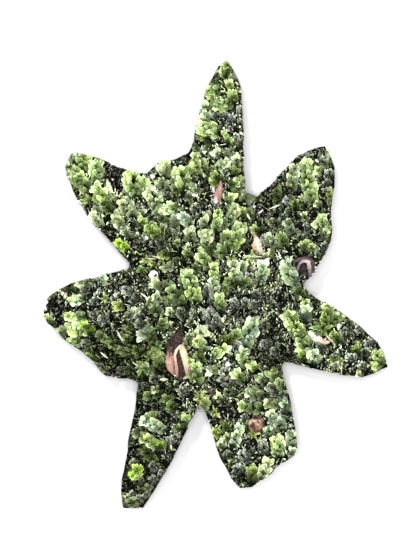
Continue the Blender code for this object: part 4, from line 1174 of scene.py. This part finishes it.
def paint_carpet(made, filling):
    """Stores on the felt how leafy, pale and green it is, and where it is bare or covered."""
    mesh = made.data
    places = read_vectors(mesh, "position")
    upward = read_normals(mesh)[:, 2]
    leafy, pale, green, bright, _, _ = carpet_at(places)
    free = np.ones(len(places))
    bare = np.full(len(places), 0.04)
    for x, y, reach in clearings(filling):
        free[np.hypot(places[:, 0] - x, places[:, 1] - y) < reach] = 0
    cleared = bare_at(places)
    free[cleared] *= 0.12
    bare[cleared] = 1
    above = np.clip((upward + 0.25) * 2, 0, 1)
    fine = free * np.where(upward > -0.5, 1.0, 0.0)
    clump = np.array([noise.fractal(Vector(place) / CLUMP_SIZE, 0.8, 2.0, 2) for place in places])
    clump = np.clip(0.75 + clump * 1.5, 0.1, 1.8)
    bands = {}
    for band, (low, high) in {"north": (14, 99), "middle": (-14, 14), "south": (-99, -14)}.items():
        bands["fine_" + band] = fine * clump * ((places[:, 1] >= low * MM) & (places[:, 1] < high * MM))
    layers = {"leafy": leafy * free * above * clump, "bare": bare, "pale": pale, "green": green, "bright": bright,
              **bands}
    for name, value in layers.items():
        layer = mesh.attributes.new(name, "FLOAT", "POINT")
        layer.data.foreach_set("value", value.astype(np.float32))


def round_sprig(name, leaves, size, seed):
    """A little shoot seen from its tip: rounded leaves that climb in a spiral."""
    local = random.Random(seed)
    verts, faces, places = [], [], []
    up = Vector((0, 0, 1))
    for leaf in range(leaves):
        rise = leaf / leaves
        turn = leaf * 2.4 + local.uniform(-0.25, 0.25)
        out = Vector((math.cos(turn), math.sin(turn), 0))
        side = Vector((-out.y, out.x, 0))
        lift = math.radians(12 + 50 * rise)
        forward = out * math.cos(lift) + up * math.sin(lift)
        length = size * (1.0 - 0.45 * rise) * local.uniform(0.85, 1.1)
        half = length * 0.42
        foot = up * size * 0.75 * rise
        first = len(verts)
        middle = foot + forward * length * 0.55 + up * length * 0.05
        far = foot + forward * length * 0.88
        tip = foot + forward * length - up * length * 0.06
        verts += [foot - side * half * 0.3, foot + side * half * 0.3, middle - side * half, middle + side * half,
                  far - side * half * 0.6, far + side * half * 0.6, tip]
        places += [(0.35, 0), (0.65, 0), (0, 0.55), (1, 0.55), (0.2, 0.88), (0.8, 0.88), (0.5, 1)]
        faces += [(first, first + 1, first + 3, first + 2), (first + 2, first + 3, first + 5, first + 4),
                  (first + 4, first + 5, first + 6)]
    mesh = bpy.data.meshes.new(name)
    mesh.from_pydata(verts, [], faces)
    blade_map = mesh.uv_layers.new(name="blade")
    for loop in mesh.loops:
        blade_map.data[loop.index].uv = places[loop.vertex_index]
    mesh.shade_smooth()
    return bpy.data.objects.new(name, mesh)


def crumb(name, seed):
    """One angular crumb of soil."""
    mesh = bmesh.new()
    bmesh.ops.create_icosphere(mesh, subdivisions=1, radius=0.2 * MM)
    local = random.Random(seed)
    verts = [vert.co * local.uniform(0.6, 1.3) for vert in mesh.verts]
    faces = [tuple(vert.index for vert in face.verts) for face in mesh.faces]
    mesh.free()
    data = bpy.data.meshes.new(name)
    data.from_pydata(verts, [], faces)
    blade_map = data.uv_layers.new(name="blade")
    for face in data.polygons:
        for loop, corner in zip(face.loop_indices, ((0.1, 0.1), (0.9, 0.1), (0.5, 0.9))):
            blade_map.data[loop].uv = corner
    return bpy.data.objects.new(name, data)


def add_strands(rims):
    """Thin loose stems and needles that lie all over the carpet, mostly along its shoots' heading; their light tones
    stand partly for painted glints off wet stems.
    """
    low, high = rims[0].min(axis=0), rims[0].max(axis=0)
    spots = np.array([(rng.uniform(low[0], high[0]), rng.uniform(low[1], high[1])) for _ in range(STRANDS)])
    spots = spots[inside_patch(spots, rims)]
    spots = spots[~bare_at(np.column_stack((spots, np.full(len(spots), MOSS_TOP))), 0.8)]
    leafy, pale, green, bright, east, north = carpet_at(spots)
    up = Vector((0, 0, 1))
    strands = []
    for index, spot in enumerate(spots):
        heading = math.atan2(north[index], east[index]) + rng.gauss(0, 0.9)
        lean = math.radians(rng.uniform(-10, 40))
        forward = Vector((math.cos(heading), math.sin(heading), 0)) * math.cos(lean) + up * math.sin(lean)
        face = up + Vector((rng.uniform(-0.6, 0.6), rng.uniform(-0.6, 0.6), 0))
        length = rng.choice((0.8, 1.0, 1.2, 2.2)) * rng.uniform(0.8, 1.2) * MM
        width = 0.16 * MM if length > 1.6 * MM else rng.uniform(0.22, 0.42) * MM
        place = Vector((*spot, dome_height(Vector(spot)) + rng.uniform(0.0, 0.9) * MM))
        strands.append((place, leaf_turn(forward, face), length, width, 0.0, rng.random()))
    cloud = point_cloud("carpet_strands", strands)
    for name, value in (("pale", pale), ("green", green), ("bright", bright)):
        layer = cloud.data.attributes.new(name, "FLOAT", "POINT")
        layer.data.foreach_set("value", value.astype(np.float32))
    blade = leaf_blade("strand", 4, 1, 1.0, 0, 0.35)
    made = applied(cloud, bpy.data.node_groups["plant_leaves"], Leaf=blade, Finish=finishes["fine_carpet"])
    trim_to_patch(made, rims)
    add_piece(made)


def flatten_tufts(made):
    """Lowers the felt's tufts, because the sprigs on it make up their height."""
    places = read_vectors(made.data, "position")
    for index in np.flatnonzero(places[:, 2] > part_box("moss_mat")[0].z + 2 * MM):
        dome = dome_height(Vector(places[index, :2]))
        above = places[index, 2] - dome
        places[index, 2] = dome + (above * 0.35 - 0.25 * MM if above > 0 else above - 0.25 * MM)
    move_vertices(made.data, places)


def collection_of(name, members):
    made = bpy.data.collections.new(name)
    for member in members:
        made.objects.link(member)
    return made


def add_carpet(rims, filling, crumbs):
    """The moss carpet: a dark felt, fine tufts all over it and small round-leaved shoots in places."""
    felt = solid_copy("moss_mat", 2)
    roughen(felt, 0.5 * MM, 1.1 * MM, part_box("moss_mat")[0].z)
    flatten_tufts(felt)
    paint_carpet(felt, filling)
    fine_sprigs = collection_of("fine_sprigs", [
        sprig(f"fine_sprig_{seed}", 7, 0.85 * MM, 0.17 * MM, (10, 75), seed) for seed in range(5)])
    round_sprigs = collection_of("round_sprigs", [
        round_sprig(f"round_sprig_{seed}", 9, 0.85 * MM, seed) for seed in range(4)])
    cover = bpy.data.node_groups["cover_surface"]
    covers = [(f"carpet_{band}_fine_moss", fine_sprigs, "fine_" + band, FINE_DENSITY, 0.7, 1.35, "fine_carpet")
              for band in ("north", "middle", "south")]
    covers.append(("carpet_round_moss", round_sprigs, "leafy", LEAFY_DENSITY, 0.7, 1.25, "round_carpet"))
    covers.append(("bare_soil_crumbs", crumbs, "bare", GRIT_DENSITY, 0.4, 1.6, "grit"))
    for number, (name, sprigs, where, density, smallest, largest, finish) in enumerate(covers):
        made = applied(bpy.data.objects.new(name, felt.data.copy()), cover, Sprigs=sprigs, Where=where,
                       Density=density, Smallest=smallest, Largest=largest, Upright=0.5, Seed=21 + number,
                       Finish=finishes[finish])
        trim_to_patch(made, rims)
        add_piece(made, replaces=["moss_mat"])
    trim_to_patch(felt, rims)
    felt.name = "carpet_felt"
    add_piece(felt, finishes["felt"], replaces=["moss_mat"])


def add_soil(crumbs):
    """The soil: rough dark humus, with crumbs on its bare patches and its sides."""
    soil = solid_copy("soil_mat", 2)
    roughen(soil, 0.45 * MM, 0.9 * MM, 0.0)
    places = read_vectors(soil.data, "position")
    upward = read_normals(soil.data)[:, 2]
    crumbly = np.where(bare_at(places, 1.3) & (upward > 0.3), 1.0, 0.0)
    crumbly[(np.abs(upward) < 0.8) & (places[:, 2] > 0.4 * MM)] = 0.5
    layer = soil.data.attributes.new("bare", "FLOAT", "POINT")
    layer.data.foreach_set("value", crumbly.astype(np.float32))
    made = applied(bpy.data.objects.new("soil_crumbs", soil.data.copy()), bpy.data.node_groups["cover_surface"],
                   Sprigs=crumbs, Where="bare", Density=GRIT_DENSITY, Smallest=0.5, Largest=1.7, Upright=0.0,
                   Seed=31, Finish=finishes["grit"])
    places = read_vectors(made.data, "position")
    places[:, 2] = places[:, 2].clip(0)
    move_vertices(made.data, places)
    add_piece(made, replaces=["soil_mat"])
    soil.name = "soil_bed"
    add_piece(soil, finishes["soil"], replaces=["soil_mat"])


def finished_mesh(name, verts, faces, places, shades):
    """A smooth mesh with a blade map by vertex and a shade for each vertex."""
    mesh = bpy.data.meshes.new(name)
    mesh.from_pydata(verts, [], faces)
    blade_map = mesh.uv_layers.new(name="blade")
    for loop in mesh.loops:
        blade_map.data[loop.index].uv = places[loop.vertex_index]
    layer = mesh.attributes.new("tint", "FLOAT", "POINT")
    layer.data.foreach_set("value", np.array(shades, np.float32))
    mesh.shade_smooth()
    return bpy.data.objects.new(name, mesh)


def torn_strips(name, top, strips, columns=8):
    """Thin torn sheets, each lofted along its stations, with a rough back and wavering edges."""
    verts, faces, places, shades = [], [], [], []
    around = 2 * (columns + 1)
    for number, (bulge, stations) in enumerate(strips):
        rows = np.array(stations, float)
        run = np.concatenate(([0], np.cumsum(np.hypot(np.diff(rows[:, 0]), np.diff(rows[:, 1])))))
        steps = np.linspace(0, run[-1], max(6, round(run[-1] * 1.5)))
        fine = np.column_stack([np.interp(steps, run, column) for column in rows.T])
        ahead = np.gradient(fine[:, :2], axis=0)
        first = len(verts)
        for row, (x, y, depth, width, shade) in enumerate(fine):
            side = Vector((-ahead[row][1], ahead[row][0])).normalized()
            for index in range(around):
                column = min(index, around - 1 - index)
                across = 2 * column / columns - 1
                seed = Vector((across * 1.7, steps[row] * 0.22, number * 7.3))
                half = width / 2 * (1 + 0.22 * noise.noise(Vector((math.copysign(5, across), steps[row] * 0.5, number))))
                place = plan(x + side.x * across * half, y + side.y * across * half)
                rough = 0.16 * width * GRID * noise.fractal(seed, 0.7, 2.0, 3)
                height = top - depth * MM - bulge * half * GRID * across**2 + rough
                if index > columns:
                    height -= SHEET
                verts.append((*place, height))
                places.append((column / columns, steps[row] / 40))
                shades.append(shade)
        for row in range(len(steps) - 1):
            for index in range(around):
                a = first + row * around + index
                b = first + row * around + (index + 1) % around
                faces.append((a, b, b + around, a + around))
        faces.append(tuple(range(first, first + around)))
        faces.append(tuple(reversed(range(len(verts) - around, len(verts)))))
    return finished_mesh(name, verts, faces, places, shades)


def pebble(name, centre, radius, height, top, hollow=None):
    """A rounded body with an uneven skin, and a hollow in the given direction if there is one."""
    mesh = bmesh.new()
    bmesh.ops.create_icosphere(mesh, subdivisions=5, radius=1)
    middle = plan(*centre)
    verts, shades, places = [], [], []
    for vert in mesh.verts:
        way = vert.co.normalized()
        swell = 1 + 0.10 * noise.fractal(way * 1.7, 0.7, 2.0, 3)
        shade = 0.36 + 0.9 * noise.fractal(way * 1.5 + Vector((3, 1, 0)), 0.9, 2.0, 2)
        if hollow:
            shade = 0.95
            reach = 0.80 + 0.10 * noise.noise(way * 3)
            into = (way.dot(Vector(hollow).normalized()) - reach) / (1 - reach)
            if into > 0:
                swell -= 0.75 * min(1, into * 2)
                # The inside of the hollow is painted near black: painted shade.
                shade = 0.0 if into > 0.12 else 0.95
        body = way * swell
        verts.append((middle.x + body.x * radius * GRID, middle.y + body.y * radius * GRID,
                      top - height * MM * (1 - body.z)))
        shades.append(shade)
        places.append((math.atan2(way.y, way.x) / math.tau + 0.5, way.z * 0.5 + 0.5))
    faces = [tuple(vert.index for vert in face.verts) for face in mesh.faces]
    mesh.free()
    return finished_mesh(name, verts, faces, places, shades)


def add_grains():
    """Small pale grains of quartz and lime that lie on the carpet, as one piece."""
    ball = bmesh.new()
    bmesh.ops.create_icosphere(ball, subdivisions=2, radius=1)
    ways = [vert.co.copy() for vert in ball.verts]
    sides = [tuple(vert.index for vert in face.verts) for face in ball.faces]
    ball.free()
    verts, faces, places, shades = [], [], [], []
    for place, radius in GRAINS:
        centre = plan(*place)
        middle = Vector((*centre, dome_height(centre) + GRAIN_LIFT))
        first = len(verts)
        for way in ways:
            swell = 1 + 0.5 * noise.noise(way * 1.3 + Vector((*place, 0)))
            verts.append(middle + way * radius * GRID * swell)
            places.append((math.atan2(way.y, way.x) / math.tau + 0.5, way.z * 0.5 + 0.5))
            shades.append(0.75)
        faces += [tuple(first + index for index in side) for side in sides]
    made = finished_mesh("pale_grains", verts, faces, places, shades)
    add_piece(made, loose_finish("pale_grains"))


def dress_loose_pieces():
    for name, strips in STRIPS.items():
        made = torn_strips("detailed_" + name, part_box(name)[1].z, strips)
        add_piece(made, loose_finish(name), [name])
    seed_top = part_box("brown_seed")[1].z
    made = pebble("detailed_brown_seed", (256.5, 424), 8.3, 1.6, seed_top)
    add_piece(made, loose_finish("brown_seed"), ["brown_seed"])
    shell_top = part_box("white_shell")[1].z
    made = pebble("detailed_white_shell", (154, 275), 4.6, 0.9, shell_top, hollow=(0.62, -0.30, 0.72))
    add_piece(made, loose_finish("white_shell"), ["white_shell"])
    needles = []
    for width, start, end, shade in NEEDLES:
        middle = ((start[0] + end[0]) / 2, (start[1] + end[1]) / 2)
        needles.append((0.4, [(*place, depth, width * share, shade) for place, depth, share in (
            (start, 0.3, 0.4), (middle, 0.0, 1.0), (end, 0.3, 0.2))]))
    strands = []
    top = MOSS_TOP + 2.6 * MM
    for bulge, stations in needles:
        seated = [(x, y, depth + (top - 1.5 * MM - dome_height(plan(x, y))) / MM, width, shade)
                  for x, y, depth, width, shade in stations]
        strands.append((bulge, seated))
    add_piece(torn_strips("pale_needles", top, strands, 3), loose_finish("pale_needles"))


def area_light(name, place, size, power, target=(0, 0, 0)):
    data = bpy.data.lights.new(name, "AREA")
    data.shape = "DISK"
    data.size = size
    data.energy = power
    made = bpy.data.objects.new(name, data)
    made.location = place
    made.rotation_euler = (Vector(target) - Vector(place)).to_track_quat("-Z", "Y").to_euler()
    bpy.context.scene.collection.objects.link(made)


def add_stage():
    """A pale floor, soft light from above and the camera looking straight down."""
    scene = bpy.context.scene
    mesh = bpy.data.meshes.new("floor")
    reach = 1.2
    mesh.from_pydata([(-reach, -reach, 0), (reach, -reach, 0), (reach, reach, 0), (-reach, reach, 0)], [], [(0, 1, 2, 3)])
    floor = bpy.data.objects.new("floor", mesh)
    scene.collection.objects.link(floor)
    paper, tree, shader = new_material("pale_floor", 0.9)
    grain = add_node(tree, "ShaderNodeTexNoise",
                     {"Vector": add_node(tree, "ShaderNodeTexCoord").outputs["Object"], "Scale": 300.0})
    tree.links.new(mixed(tree, grain.outputs[0], opaque((0.93, 0.93, 0.93)), opaque((0.96, 0.96, 0.96))),
                   shader.inputs["Base Color"])
    mesh.materials.append(paper)

    world = bpy.data.worlds.new("studio")
    scene.world = world
    world.use_nodes = True
    world.node_tree.nodes["Background"].inputs[0].default_value = (1, 1, 1, 1)
    world.node_tree.nodes["Background"].inputs[1].default_value = WORLD_STRENGTH
    area_light("top", (0, 0, 0.90), 0.30, TOP_POWER)
    area_light("key", (-0.16, 0.26, 0.66), 0.10, KEY_POWER)

    lens = 150
    sensor = 36
    plane = 8 * MM
    distance = PICTURE_SIZE.y * GRID * lens / sensor
    centre = plan(*(PICTURE_SIZE / 2))
    data = bpy.data.cameras.new("overhead")
    data.lens = lens
    data.sensor_fit = "AUTO"
    data.sensor_width = sensor
    data.clip_start = 0.01
    camera = bpy.data.objects.new("overhead", data)
    camera.location = (centre.x, centre.y, plane + distance)
    scene.collection.objects.link(camera)
    scene.camera = camera
    scene.view_settings.view_transform = "Standard"


make_blotches()
make_leaf_colours()
make_plant_leaves()
make_cover_surface()
finishes = {tint: leaf_finish(tint) for tint in LEAF_TINTS}
finishes["fine_carpet"] = carpet_finish("fine_carpet_moss")
finishes["round_carpet"] = carpet_finish("round_carpet_moss")
finishes["grit"] = grit_finish()
# The felt's near-black is partly painted shade in the gaps between the shoots.
finishes["felt"] = speckled_finish("dark_felt", FELT_AND_GAP_SHADE_COLOURS, 900.0, 0.7, (0.08, 0.11, 0.03), 0.0)
finishes["soil"] = speckled_finish("wet_humus", SOIL_COLOURS, 700.0, 0.55, (0.30, 0.29, 0.27), 0.0)

outline = [foot_rim("moss_mat"), foot_rim("soil_mat")]
crumbs = collection_of("crumbs", [crumb(f"crumb_{seed}", seed) for seed in range(3)])
add_soil(crumbs)
filling = add_small_shoots(outline)
add_carpet(outline, filling, crumbs)
add_strands(outline)
add_large_shoots(outline)
dress_loose_pieces()
add_grains()
add_stage()
